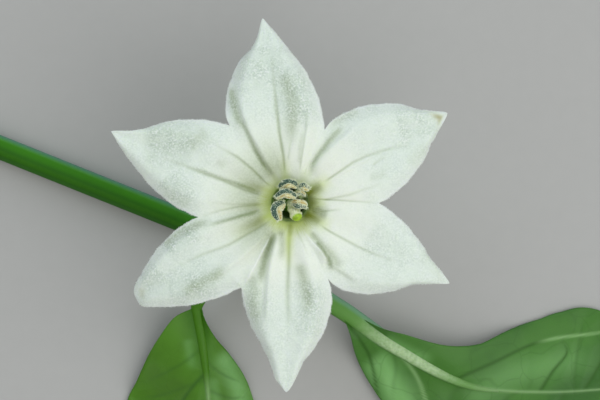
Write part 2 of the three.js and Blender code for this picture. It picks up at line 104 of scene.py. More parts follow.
# Lines pressed into the lobes, each from the throat outwards: a depth or height, a width, and the
# points. A vein is a fine groove. A fold is a bank that rises to the line's left, or to its right
# where its height is negative.
VEINS = [
    (0.12, 0.13, [(-0.4, 2.0), (-0.5, 3.5), (-0.8, 5.4), (-1.0, 7.3), (-1.2, 9.0), (-1.4, 11.2)]),
    (0.05, 0.10, [(-0.2, 3.2), (0.0, 4.4), (0.2, 5.5)]),
    (0.05, 0.09, [(0.7, 2.3), (0.83, 3.2), (1.05, 4.6), (1.2, 5.6), (1.35, 7.4), (1.3, 8.6)]),
    (0.10, 0.12, [(2.5, 1.5), (2.9, 1.8), (3.8, 2.4), (4.8, 3.1), (5.9, 3.6), (7.1, 4.0), (9.2, 4.5)]),
    (0.05, 0.12, [(6.3, 2.8), (6.6, 3.1), (7.4, 3.6)]),
    (0.07, 0.12, [(2.4, 0.2), (3.0, 0.3), (4.5, 0.6), (5.9, 1.1), (7.0, 1.5)]),
    (0.10, 0.08, [(1.7, 0.3), (3.8, 0.2), (5.3, 0.1), (6.8, 0.0)]),
    (0.09, 0.10, [(2.4, -0.7), (2.9, -0.6), (3.9, -0.5)]),
    (0.10, 0.12, [(2.2, -1.6), (2.9, -2.1), (3.8, -2.6), (5.1, -3.3), (6.4, -3.9), (8.2, -4.5)]),
    (0.13, 0.20, [(-0.1, -2.0), (-0.1, -4.7), (-0.2, -6.6), (-0.1, -9.4)]),
    (0.05, 0.10, [(0.4, -1.9), (0.8, -2.7), (1.2, -3.5), (1.4, -4.2)]),
    (0.11, 0.13, [(-1.3, -1.2), (-2.6, -2.0), (-4.7, -3.2), (-7.1, -4.1), (-8.4, -4.8)]),
    (0.09, 0.10, [(-2.2, -0.5), (-4.0, -1.0), (-5.0, -1.4), (-6.0, -1.8)]),
    (0.11, 0.13, [(-2.0, 0.5), (-3.5, 1.0), (-5.1, 1.7), (-6.5, 2.2), (-8.2, 2.9), (-9.9, 3.5)]),
    (0.09, 0.11, [(-1.3, 1.2), (-1.8, 1.5), (-2.9, 2.6), (-4.0, 3.5), (-5.1, 4.1), (-5.9, 4.5)]),
    (0.09, 0.10, [(-2.0, -0.1), (-4.0, -0.3), (-5.4, -0.6), (-7.0, -1.1)]),
    (0.05, 0.10, [(-2.2, 0.0), (-3.2, -0.1), (-4.7, -0.1), (-6.3, 0.1)]),
]
FOLDS = [
    (-0.22, 0.16, [(0.7, 2.2), (0.83, 3.2), (1.05, 4.6), (1.2, 5.6), (1.35, 7.4), (1.3, 8.6)]),
    (-0.28, 0.13, [(-1.0, 1.5), (-1.3, 2.2), (-2.0, 3.2), (-2.6, 4.4), (-3.2, 5.4), (-3.7, 6.7), (-4.0, 7.8),
                   (-4.25, 9.0)]),
    (0.30, 0.18, [(1.1, 1.9), (1.6, 3.1), (2.2, 3.9), (2.7, 5.1)]),
    (-0.34, 0.15, [(1.5, 2.4), (2.1, 3.4), (2.6, 3.9), (3.5, 4.7), (4.4, 5.5), (5.2, 6.0)]),
    (0.22, 0.16, [(2.8, -4.3), (3.2, -4.9), (4.1, -5.4), (5.2, -6.2)]),
    (0.44, 0.18, [(-1.0, -2.2), (-1.2, -2.8), (-1.6, -4.4), (-1.8, -6.0), (-1.9, -7.4), (-2.0, -9.7)]),
    (-0.24, 0.16, [(-1.5, -2.2), (-2.4, -3.2), (-3.6, -4.3), (-5.4, -5.6), (-6.6, -6.2)]),
    (0.25, 0.5, [(0.9, -3.5), (1.3, -5.0), (1.6, -6.7), (1.6, -8.4)]),
    (0.15, 0.3, [(-6.8, -1.9), (-8.0, -2.5), (-9.4, -3.4)]),
]
# Painted olive shade, on walls and lobes that face away from the light, beside the pleats and in the
# throat's hollows, partly also where the upper skin is thin: a strength, a width, and the points.
PAINTED_SHADES = [
    (0.90, 0.50, [(-0.6, 10.2), (-0.1, 8.7), (0.25, 7.3), (0.15, 5.6), (0.05, 4.2)]),
    (1.15, 0.30, [(-4.55, 9.0), (-4.3, 7.6), (-4.0, 6.5), (-3.3, 5.4)]),
    (1.10, 0.17, [(-4.0, 6.8), (-3.25, 5.35), (-2.7, 4.15), (-2.1, 3.05), (-1.4, 1.95)]),
    (0.70, 0.40, [(2.9, 5.9), (4.1, 6.7), (5.6, 7.3)]),
    (1.15, 0.24, [(4.1, 6.0), (3.6, 5.4), (3.0, 4.8), (2.7, 4.3), (2.25, 3.8), (1.75, 3.0), (1.3, 1.9)]),
    (0.60, 0.55, [(-6.3, 5.6), (-7.2, 4.8), (-7.9, 4.0)]),
    (0.40, 0.60, [(-9.8, 1.0), (-8.6, 0.3), (-7.4, -0.4)]),
    (0.35, 0.35, [(-5.6, 3.2), (-4.9, 2.7)]),
    (1.00, 0.35, [(-9.9, -3.3), (-8.4, -2.2), (-6.9, -1.6), (-5.6, -1.3)]),
    (1.00, 0.45, [(-8.3, -7.0), (-7.0, -6.2), (-5.8, -5.6), (-4.6, -4.6)]),
    (1.45, 0.32, [(-1.1, -2.1), (-1.5, -3.1), (-1.9, -4.3), (-2.15, -5.3), (-2.4, -6.6)]),
    (0.75, 0.55, [(-2.6, -5.2), (-2.8, -6.2), (-2.7, -8.0), (-2.4, -9.6)]),
    (0.95, 0.40, [(0.6, -4.4), (1.1, -6.0), (1.4, -7.6), (1.2, -8.8)]),
    (1.00, 0.26, [(1.5, -2.1), (2.3, -3.0), (3.0, -3.8), (3.5, -4.7)]),
    (0.85, 0.42, [(2.4, -3.2), (3.1, -3.9), (3.6, -4.6), (3.8, -5.3)]),
    (0.45, 0.10, [(3.1, -4.8), (4.1, -5.4), (5.1, -6.1)]),
    (0.40, 0.50, [(10.2, -3.4), (11.3, -4.7), (11.9, -5.7)]),
    (0.90, 0.16, [(-2.2, -0.55), (-3.3, -0.9), (-4.25, -1.15), (-5.4, -1.45), (-6.8, -1.8)]),
    (0.35, 0.30, [(6.0, 1.9), (7.6, 2.3)]),
    (0.30, 0.40, [(9.0, 3.0), (10.6, 4.6)]),
    (0.90, 0.50, [(1.1, 0.7), (1.5, 0.8), (2.0, 1.1), (2.6, 1.45)]),
    (0.90, 0.60, [(0.9, -0.9), (1.4, -0.95), (2.0, -1.2), (2.6, -1.55)]),
    (1.00, 0.50, [(1.2, 0.9), (1.75, 0.0), (1.2, -0.9)]),
    (0.50, 0.25, [(0.0, -1.5), (0.0, -2.0), (0.0, -2.6)]),
    (0.90, 0.16, [(-2.0, 0.65), (-3.2, 1.15), (-4.15, 1.5), (-5.25, 1.9), (-6.6, 2.4), (-8.2, 2.95)]),
    (0.50, 0.14, [(-1.8, 1.5), (-2.9, 2.6), (-4.0, 3.5), (-5.1, 4.1)]),
    (0.45, 0.14, [(-0.5, 3.5), (-0.85, 5.4), (-1.1, 7.3), (-1.3, 9.0)]),
    (0.45, 0.18, [(0.7, 2.9), (0.8, 4.4), (1.0, 5.8)]),
    (1.20, 0.50, [(1.7, -0.45), (2.3, -0.7), (3.0, -1.0)]),
    (1.60, 0.24, [(1.9, -2.7), (2.5, -3.55), (3.05, -4.4), (3.15, -4.85), (2.75, -5.3)]),
    (0.80, 0.30, [(-0.7, -1.9), (-0.65, -2.6), (-0.6, -3.4), (-0.7, -4.6)]),
    (0.25, 1.50, [(-11.6, 4.5), (-9.2, 4.8), (-7.0, 4.6)]),
]
# The arc round the throat on which painted shade darkens the skin: its middle and half its width, in degrees.
THROAT_SHADE_AT, THROAT_SHADE_HALF = 170, 84
# Where the skin's cells stand proud and catch the light one by one: a strength, a width, the points.
ROUGH_AREAS = [
    (1.0, 2.1, [(-11.4, 4.6), (-9.0, 4.9), (-6.6, 4.8)]),
    (0.9, 1.5, [(-9.8, 2.0), (-8.5, 0.6), (-7.4, -0.5)]),
    (0.9, 2.2, [(-2.0, 12.4), (-2.1, 10.0), (-1.4, 8.0)]),
    (1.0, 1.6, [(-0.2, 11.0), (0.6, 8.0), (0.4, 5.4)]),
    (0.9, 0.5, [(-4.5, 8.4), (-4.2, 6.4)]),
    (0.8, 2.2, [(8.0, 5.6), (10.0, 6.0), (11.6, 6.6)]),
    (0.6, 1.2, [(3.6, 6.4), (5.4, 7.4), (7.4, 7.6)]),
    (0.5, 1.8, [(5.5, -2.5), (7.5, -3.5), (10.0, -4.5)]),
    (0.8, 1.2, [(1.4, -5.5), (1.6, -8.5), (1.2, -11.0)]),
    (0.8, 0.8, [(-3.0, -6.0), (-2.9, -8.5), (-2.4, -10.5)]),
    (1.0, 1.4, [(-10.0, -3.6), (-8.6, -2.6), (-6.6, -1.8)]),
    (1.0, 1.6, [(-9.6, -6.9), (-7.6, -6.4), (-5.2, -5.2)]),
    (0.8, 1.5, [(-9.8, -5.0), (-10.9, -6.0), (-11.4, -6.8)]),
]
# Where the throat's yellow-green runs outwards: a strength, a width, and the points.
FLUSHES = [
    (0.90, 0.45, [(-0.3, 1.4), (-0.4, 2.2), (-0.6, 3.8)]),
    (0.80, 0.40, [(-0.8, 1.2), (-1.2, 1.9), (-2.0, 3.3)]),
    (1.10, 0.40, [(-1.2, 0.7), (-1.9, 1.0), (-2.9, 1.3), (-4.2, 1.7)]),
    (1.10, 0.45, [(-1.4, -0.1), (-2.2, -0.15), (-4.0, -0.35)]),
    (1.30, 0.45, [(-1.1, -0.7), (-1.8, -1.05), (-2.8, -1.65), (-4.6, -2.7)]),
    (0.90, 0.40, [(-0.7, -1.2), (-1.0, -1.9), (-1.6, -3.1)]),
    (1.30, 0.38, [(0.1, -1.4), (0.0, -2.1), (-0.1, -3.1), (-0.1, -5.2)]),
    (0.90, 0.40, [(0.8, -1.2), (1.2, -1.9), (1.9, -3.1)]),
    (1.50, 0.55, [(1.2, -0.8), (1.8, -1.1), (2.5, -1.5), (3.3, -1.95)]),
    (1.30, 0.55, [(1.4, 0.0), (2.0, 0.0), (3.0, 0.0)]),
    (1.50, 0.55, [(1.2, 0.7), (1.8, 1.0), (2.5, 1.45), (3.3, 1.9)]),
    (0.50, 0.45, [(0.7, 1.2), (1.1, 1.8), (1.7, 3.1)]),
]
# Crests of the pleats where the bottom lobe overlaps the lower right one, and the lower left lobe
# the bottom one: a height and the points.
PLEATS = [
    (0.34, [(0.77, -1.81), (1.37, -2.4), (1.82, -2.98), (2.43, -3.6), (2.8, -4.21), (2.66, -4.7),
            (2.62, -5.2)]),
    (0.36, [(-1.3, -2.2), (-1.65, -3.0), (-2.0, -3.7), (-2.45, -4.6), (-3.05, -5.7), (-3.6, -6.45)]),
]

# Stamens: the two ends and the middle of each anther's bend, with heights over the mouth, and its
# thickness. The filaments rise from the tube at the angles below.
ANTHERS = [
    ([0.54, 1.22, 0.9], [-0.1, 1.52, 1.4], [-0.85, 1.12, 1.0], 0.36),
    ([0.46, 0.42, 1.3], [-0.3, 0.76, 1.95], [-1.1, 0.4, 1.5], 0.33),
    ([-0.4, 0, 1.1], [-1.0, -0.4, 1.6], [-0.8, -1.35, 1.3], 0.42),
    ([1.5, 1.05, 1.05], [1.05, 1.25, 1.2], [0.72, 1.02, 0.85], 0.28),
    ([0.08, 0, 0.8], [0.72, -0.06, 1.35], [1.3, -0.25, 1.1], 0.34),
    ([0.42, 0.68, 0.45], [0.76, 0.79, 0.85], [1.2, 0.6, 0.62], 0.19),
]
# How much loose pollen lies on each anther's outer side, as a share of its other pollen.
ANTHER_DUST = [0.1, 0.08, 0.1, 0.45, 0.4, 0.5]
FILAMENT_ANGLES = [110, 170, 215, 62, 350, 25]
STIGMA_AT = (0.62, -1.2, 1.6)

# Stalks: the joint's middle and radius, and the stem's radius and cut end. The solid stem has
# STEM_SIDES sides and lies on one of them, which gives the stem's level.
JOINT_AT = np.array([-2.0, -4.0, 1.5])
JOINT_R = 1.4
STEM_R = 0.96
STEM_END = np.array([-26.2, 5.7])
STEM_SIDES = 10

# Leaves: the stalk's and the midrib's points, each edge's half width at shares of the midrib's
# length, first on the clockwise side, how far each side is cupped and rippled, the stalk's radius,
# the side veins that are placed one by one, each with the share of its length at which it turns from
# dark to pale, the side, -1 or 1, and the share of the midrib at which the other side veins leave it,
# whether the leaf takes the copy of its colours in painted shade, how wide painted shade darkens the
# blade along its stalk, and where painted highlights lie on it: a strength, a width, and the points.
# The ripple has WAVES half waves along the blade.
LEAVES = {
    "leaf_right": {
        "stalk": [(-2.0, -4.0, 1.5), (-0.5, -5.05, 1.75), (1.4, -6.6, 2.3), (3.2, -7.9, 2.5)],
        "rib": [(4.3, -8.6, 2.4), (8.4, -11.4, 1.8), (14.3, -14.5, 0.5), (19.8, -15, -0.15),
                (24.5, -14.8, -0.2), (30, -14.2, -0.1), (35.4, -13.3, 0.9)],
        "edges": [
            [(0, 0.3), (0.05, 1.3), (0.1, 2.5), (0.2, 4.3), (0.38, 7.3), (0.62, 6.6), (0.85, 2.7), (1, 0.25)],
            [(0.03, 0.3), (0.1, 0.6), (0.16, 1.15), (0.24, 2), (0.31, 3.2), (0.39, 4.5), (0.47, 5.5),
             (0.56, 6.3), (0.68, 6.3), (0.87, 2.8), (1, 0.25)],
        ],
        "cup": (0.4, 2.6),
        "wave": (0.45, 0.35),
        "stalk_radius": 0.74,
        "veins": [
            (0.45, [(12.8, -14.1), (14.4, -13.4), (16.2, -12.6), (19.1, -11.25), (21.3, -10.7),
                    (24.5, -10.3), (27.5, -9.5)]),
            (0.0, [(8.2, -11.6), (9.3, -12.7), (10.2, -14.1), (10.8, -15.8), (11.8, -18.2)]),
            # This one stays dark all along: painted shade in a crease of the blade's lower left lobe, beside
            # the stalk.
            (1.0, [(4.5, -9.2), (5.2, -10.4), (6.1, -11.8), (6.6, -13.4), (6.9, -15), (7.8, -17.2)]),
            (1.0, [(19.9, -14.8), (20.8, -13.4), (21.95, -11.8), (21.4, -10.8)]),
            (1.0, [(23.4, -14.7), (24.4, -13.1), (25.6, -10.6)]),
        ],
        "side_veins": [(-1, 0.12), (-1, 0.33), (-1, 0.45), (-1, 0.57), (-1, 0.69), (-1, 0.8),
                       (1, 0.6), (1, 0.7), (1, 0.79), (1, 0.87)],
        "shaded": 0.0,
        "painted_shade_width": 0.6,
        "glints": [(1.25, 1.1, [(6.4, -11.8), (7.7, -13.6), (8.8, -15.6), (10.2, -18.5)]),
                   (0.5, 1.2, [(13.5, -16.2), (17.5, -13.6), (21.5, -12.6), (25.5, -12.2)]),
                   (0.85, 0.5, [(7.2, -10.6), (9.6, -11.9), (11.6, -12.6)])],
    },
    "leaf_lower": {
        "stalk": [(-2.0, -4.0, 1.5), (-3.65, -5.3, 1.45), (-5.4, -6.2, 2.2), (-6.9, -7.4, 2.5)],
        "rib": [(-7.4, -8.3, 2), (-6.9, -11.5, 1.6), (-6.5, -15.6, 0.5), (-6.4, -20.5, -0.15),
                (-6.4, -25, -0.15), (-6.6, -30.6, 0.8)],
        "edges": [
            [(0, 0.4), (0.03, 1.9), (0.12, 3.4), (0.21, 4.5), (0.3, 5.5), (0.4, 6.5), (0.6, 6.8), (0.85, 2.6),
             (1, 0.25)],
            [(0, 0.3), (0.09, 0.65), (0.17, 1.2), (0.24, 2.05), (0.32, 2.95), (0.4, 3.5), (0.6, 4.6),
             (0.85, 2.3), (1, 0.25)],
        ],
        "cup": (0.9, 0.6),
        "wave": (0.4, 0.4),
        "stalk_radius": 0.45,
        "veins": [(1.0, [(-6.6, -13.4), (-7.6, -14.4), (-8.6, -15.8), (-9.3, -17.6)])],
        "side_veins": [(-1, 0.2), (1, 0.24), (-1, 0.33), (1, 0.37), (-1, 0.45), (1, 0.49),
                       (-1, 0.58), (1, 0.62), (-1, 0.7), (1, 0.75)],
        "shaded": 1.0,
        "painted_shade_width": 0.95,
        "glints": [(0.9, 0.8, [(-5.9, -11.6), (-4.9, -13), (-4.1, -14.8), (-3.6, -16.8), (-3.4, -19)]),
                   (0.5, 0.4, [(-8.1, -10.6), (-7.9, -12), (-7.6, -13.4)]),
                   (0.5, 0.5, [(-6.2, -13.6), (-5.9, -15.6), (-5.8, -18)])],
    },
}
WAVES = 5


# Numbers, curves and grids


def mix(low, high, share):
    """Runs evenly from low at a share of 0 to high at 1."""
    return low + (high - low) * share


def smooth(share):
    """Rises from 0 to 1 with level ends."""
    share = np.clip(share, 0, 1)
    return share**2 * (3 - 2 * share)


def polar(radius, degrees):
    """Points in the plane at a radius and an angle from the flower's axis."""
    return np.stack([radius * np.cos(np.radians(degrees)), radius * np.sin(np.radians(degrees))], -1)


def over_mouth(point):
    """A point whose height is given over the tube's mouth."""
    return (point[0], point[1], MOUTH_Z + point[2])


def curve_at(points, shares):
    """A centripetal Catmull-Rom curve through points: each span is the cubic that passes its two
    ends with slopes from the neighbouring spans, weighed by the square root of the spans' lengths."""
    points = np.asarray(points, float)
    points = np.concatenate([[2 * points[0] - points[1]], points, [2 * points[-1] - points[-2]]])
    spans = len(points) - 3
    place = np.asarray(shares, float) * spans
    span = np.clip(np.floor(place).astype(int), 0, spans - 1)
    t = (place - span)[:, None]
    a, b, c, d = (points[span + step] for step in range(4))
    before, here, after = (
        np.sqrt(np.linalg.norm(end - start, axis=1))[:, None] for start, end in ((a, b), (b, c), (c, d))
    )
    leave = ((b - a) / before - (c - a) / (before + here) + (c - b) / here) * here
    arrive = ((c - b) / here - (d - b) / (here + after) + (d - c) / after) * here
    return (b + leave * t + (-3 * b + 3 * c - 2 * leave - arrive) * t**2
            + (2 * b - 2 * c + leave + arrive) * t**3)


def spline_at(points, shares):
    """A plain Catmull-Rom curve through points: each slope is half of the neighbours' difference."""
    points = np.asarray(points, float)
    last = len(points) - 1
    place = np.asarray(shares, float) * last
    span = np.clip(np.floor(place).astype(int), 0, last - 1)
    t = (place - span)[..., None]
    a, b, c, d = (points[np.clip(span + step, 0, last)] for step in (-1, 0, 1, 2))
    leave, arrive = (c - a) / 2, (d - b) / 2
    return (b + leave * t + (3 * c - 3 * b - 2 * leave - arrive) * t**2
            + (2 * b - 2 * c + leave + arrive) * t**3)


def directions(path):
    """Unit vectors along a path of points, from the points on either side."""
    along = np.gradient(path, axis=0)
    return along / np.linalg.norm(along, axis=1, keepdims=True)


def swept(path, radii, up=(0, 0, 1)):
    """Rings of points round a path. A ring's points stand off the path in the plane square to it,
    at even turns that start level, on the path's right, and go over its top. Radii has one row for
    each point of the path and one column for each turn."""
    along = directions(path)
    across = np.cross(along, up)
    across /= np.linalg.norm(across, axis=1, keepdims=True)
    raised = np.cross(across, along)
    turn = np.linspace(0, TURN, radii.shape[1], endpoint=False)[None, :, None]
    off = across[:, None] * np.cos(turn) + raised[:, None] * np.sin(turn)
    return path[:, None] + off * radii[:, :, None]


def cells(rows, columns, around=False):
    """Two triangles for each cell of a grid of points. Around joins the last column to the first."""
    row, column = np.meshgrid(
        np.arange(rows - 1), np.arange(columns if around else columns - 1), indexing="ij"
    )
    a = row * columns + column
    b = row * columns + (column + 1) % columns
    corners = np.stack([a, b, b + columns, a + columns], -1).reshape(-1, 4)
    return np.concatenate([corners[:, [0, 1, 2]], corners[:, [0, 2, 3]]])


def joined(parts):
    """One part from several. A part is its points, its triangles and a value of each attribute for
    each point. An attribute that a part lacks is 0 there."""
    names = sorted({name for part in parts for name in part[2]})
    first = np.cumsum([0] + [len(part[0]) for part in parts])
    points = np.concatenate([part[0] for part in parts])
    triangles = np.concatenate([part[1] + start for part, start in zip(parts, first)])
    values = {
        name: np.concatenate([part[2].get(name, np.zeros(len(part[0]))) for part in parts])
        for name in names
    }
    return points, triangles, values


def welded(part):
    """The part with points that coincide made one, and triangles that this flattens left out."""
    points, triangles, values = part
    _, first, back = np.unique(np.round(points, 4), axis=0, return_index=True, return_inverse=True)
    triangles = back.reshape(-1)[triangles]
    a, b, c = triangles.T
    triangles = triangles[(a != b) & (b != c) & (c != a)]
    return points[first], triangles, {name: value[first] for name, value in values.items()}


def facing_out(part):
    """The closed part with its faces turned outwards: its signed volume is made positive."""
    points, triangles, values = part
    a, b, c = points[triangles].transpose(1, 0, 2)
    if np.einsum("ij,ij->", a, np.cross(b, c)) < 0:
        triangles = triangles[:, ::-1]
    return points, triangles, values


def tube(rings, **values):
    """A closed body from rings of points: a skin over the rings, and a fan over either end."""
    rows, columns = rings.shape[:2]
    ring = np.arange(columns)
    after = (ring + 1) % columns
    hub = rows * columns
    last = hub - columns
    fans = [
        np.stack([np.full(columns, hub), after, ring], -1),
        np.stack([np.full(columns, hub + 1), last + ring, last + after], -1),
    ]
    points = np.concatenate([rings.reshape(-1, 3), rings[[0, -1]].mean(1)])
    values = {
        name: np.concatenate([np.broadcast_to(value, (rows, columns)).reshape(-1),
                              np.broadcast_to(value, (rows, columns))[[0, -1]].mean(1)])
        for name, value in values.items()
    }
    return facing_out((points, np.concatenate([cells(rows, columns, True), *fans]), values))


def sheet_between(upper, lower, first_free_row=0, **values):
    """A thin body between two facing grids. Its edges are closed along the first and last row, and
    along both sides from first_free_row on. A value is given for both grids, or for each."""
    rows, columns = upper.shape[:2]
    count = rows * columns
    grid = np.arange(count).reshape(rows, columns)
    faces = [cells(rows, columns), cells(rows, columns)[:, ::-1] + count]
    for line in (grid[first_free_row:, 0][::-1], grid[first_free_row:, -1], grid[-1][::-1], grid[0]):
        a, b = line[:-1], line[1:]
        faces += [np.stack([b, a, a + count], -1), np.stack([b, a + count, b + count], -1)]
    points = np.concatenate([upper.reshape(-1, 3), lower.reshape(-1, 3)])
    values = {
        name: np.broadcast_to(value, (2, rows, columns)).reshape(-1)
        for name, value in values.items()
    }
    return points, np.concatenate(faces), values


def nearest_on(line, places):
    """For each place in the plane, its distance from a line of points, signed to be positive on the
    line's left, and the share of the line's length at which the nearest point lies."""
    line = np.asarray(line, float)
    lengths = np.linalg.norm(np.diff(line, axis=0), axis=1)
    start = np.cumsum([0, *lengths[:-1]])
    best = np.full(len(places), np.inf)
    side = np.zeros(len(places))
    share = np.zeros(len(places))
    for step, length in enumerate(lengths):
        way = (line[step + 1] - line[step]) / length
        off = places - line[step]
        along = np.clip(off @ way, 0, length)
        distance = np.linalg.norm(off - along[:, None] * way, axis=1)
        nearer = distance < best
        best = np.where(nearer, distance, best)
        side = np.where(nearer, np.sign(way[0] * off[:, 1] - way[1] * off[:, 0]), side)
        share = np.where(nearer, (start[step] + along) / lengths.sum(), share)
    return best * side, share


def fading(share):
    """1 along a line and 0 at its ends."""
    return smooth(share / 0.15) * smooth((1 - share) / 0.3)


def falling(share):
    """1 at a line's start, from where it falls evenly to 0 at the end."""
    return 1 - share


def grooves(lines, places):
    """Depth of fine grooves at each place: a bell across each line. It is deepest near the line's
    start, and from there its depth falls and its width grows evenly to the end."""
    depth = np.zeros(len(places))
    for height, width, line in lines:
        distance, share = nearest_on(line, places)
        strength = 0.75 * height * smooth(share / 0.1) * (1 - share) ** 0.6
        depth += strength * np.exp(-((distance / width / mix(0.75, 1.1, share)) ** 2))
    return depth


def banks(lines, places):
    """Height of folds at each place: across each line a step of tanh form, which fades on both
    sides within four widths."""
    height = np.zeros(len(places))
    for rise, width, line in lines:
        distance, share = nearest_on(line, places)
        step = np.tanh(distance / width) * np.exp(-((distance / width / 4) ** 2))
        height += 0.5 * rise * fading(share) * step
    return height


def patches(lines, places, profile=fading):
    """Strength of soft patches at each place: a bell across each line, with a profile along it. The
    strongest one counts."""
    strength = np.zeros(len(places))
    for amount, width, line in lines:
        distance, share = nearest_on(line, places)
        strength = np.maximum(strength, amount * profile(share) * np.exp(-((distance / width) ** 2)))
    return strength


def throat_painted_shade(flat):
    """How much painted shade lies round the throat on the left: it sets in outside the mouth's edge,
    fades outwards as a bell, and covers an arc that ends smoothly on both sides."""
    starts, rise, dullest, fall, strength, soft_end = 1.8, 1.1, 2.9, 2, 1.05, 25
    radius = np.linalg.norm(flat, axis=-1)
    turned = np.abs(np.degrees(np.arctan2(flat[..., 1], flat[..., 0])) % 360 - THROAT_SHADE_AT)
    inner = smooth((radius - starts) / rise) * np.exp(-((np.maximum(radius - dullest, 0) / fall) ** 2))
    return strength * inner * smooth((THROAT_SHADE_HALF - turned) / soft_end)


def pleats(places):
    """Height of the pleats at each place: on their own side a bell that falls away from the crest,
    and on the other a steep step of tanh form. Also a narrow bell along the crest."""
    bell_width, step_width, crest_width = 0.55, 0.07, 0.09
    height, crest = np.zeros((2, len(places)))
    for rise, line in PLEATS:
        distance, share = nearest_on(line, places)
        strength = smooth(share / 0.3) * smooth((1 - share) / 0.25)
        bell = np.exp(-((np.minimum(distance, 0) / bell_width) ** 2))
        height += rise * strength * bell * 0.5 * (1 - np.tanh(distance / step_width))
        crest = np.maximum(crest, strength * np.exp(-(((distance + 0.1) / crest_width) ** 2)))
    return height, crest


def puckers(places):
    """Height of the tissue's shallow puckers at each place: crossed sines of uneven pitch, each
    turned by a slower one."""
    x, y = places.T
    slow = np.sin(1.1 * x + 0.7 * y) + np.sin(0.6 * x - 1.3 * y + 2)
    return (0.009 * np.sin(4.1 * x + 2.3 * y + 1.5 * slow) + 0.008 * np.sin(2.7 * x - 5.2 * y + 2 * slow)
            + 0.003 * np.sin(9.3 * x + 6.1 * y + slow) + 0.003 * np.sin(7.9 * x - 8.8 * y - slow))


# Pieces


def add_piece(name, part, material, replaces):
    """Puts a part from the flower's own frame into a mesh in the shared frame, and hides the parts that
    it stands for."""
    points, triangles, values = part
    mesh = bpy.data.meshes.new(name)
    mesh.vertices.add(len(points))
    mesh.vertices.foreach_set("co", ((points + [AXIS.x / MM, AXIS.y / MM, 0]) * MM).reshape(-1))
    mesh.loops.add(triangles.size)
    mesh.loops.foreach_set("vertex_index", triangles.reshape(-1).astype(np.int32))
    mesh.polygons.add(len(triangles))
    mesh.polygons.foreach_set("loop_start", np.arange(0, triangles.size, 3, dtype=np.int32))
    mesh.update(calc_edges=True)
    mesh.polygons.foreach_set("use_smooth", np.ones(len(triangles), bool))
    for attribute, value in values.items():
        layer = mesh.attributes.new(attribute, "FLOAT", "POINT")
        layer.data.foreach_set("value", value.astype(np.float32))
    mesh.materials.append(material)
    mesh.validate()
    piece = bpy.data.objects.new(name, mesh)
    bpy.context.scene.collection.objects.link(piece)
    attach(piece, "root")
    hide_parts(*replaces)


# Corolla


def lobe_edge(number, side, outward):
    """Reach and angle of a lobe's edge from its notch to its tip. The angle runs evenly, and the
    reach swells past a straight rise by full and draws in to a point by taper."""
    (tip_at, tip_reach, notch_at, notch_reach, full_first, full_other, taper_first,
     taper_other) = LOBES[number][:8]
    after_at, after_reach = LOBES[(number + 1) % len(LOBES)][2:4]
    first = side < 0
    start = np.where(first, notch_at, after_at + (360 if after_at < tip_at else 0))
    start_reach = np.where(first, notch_reach, after_reach)
    swell = np.where(first, full_first, full_other) * (np.sqrt(outward) - outward)
    draw = np.where(first, taper_first, taper_other) * (outward - outward**10)
    return mix(start_reach, tip_reach, outward + swell - draw), mix(start, tip_at, outward)


def open_height(radius):
    """The funnel's height: it rises out of the mouth and levels out exponentially, and bends back
    with the square of the distance past a radius."""
    rise = FUNNEL_RISE * (1 - np.exp((MOUTH_R - radius) / FUNNEL_REACH))
    return MOUTH_Z + rise - RECURVE * np.maximum(0, radius - RECURVE_FROM) ** 2


def fold_across(place):
    """Folds across half a lobe: a raised cosine from the midvein up to the ridge, and another down
    to the edge."""
    inner = MIDVEIN_LEVEL + 0.5 * (1 - MIDVEIN_LEVEL) * (1 - np.cos(np.pi * place / RIDGE_AT))
    outer = 0.5 * (1 + np.cos(np.pi * (place - RIDGE_AT) / (1 - RIDGE_AT)))
    return np.where(place < RIDGE_AT, inner, outer)


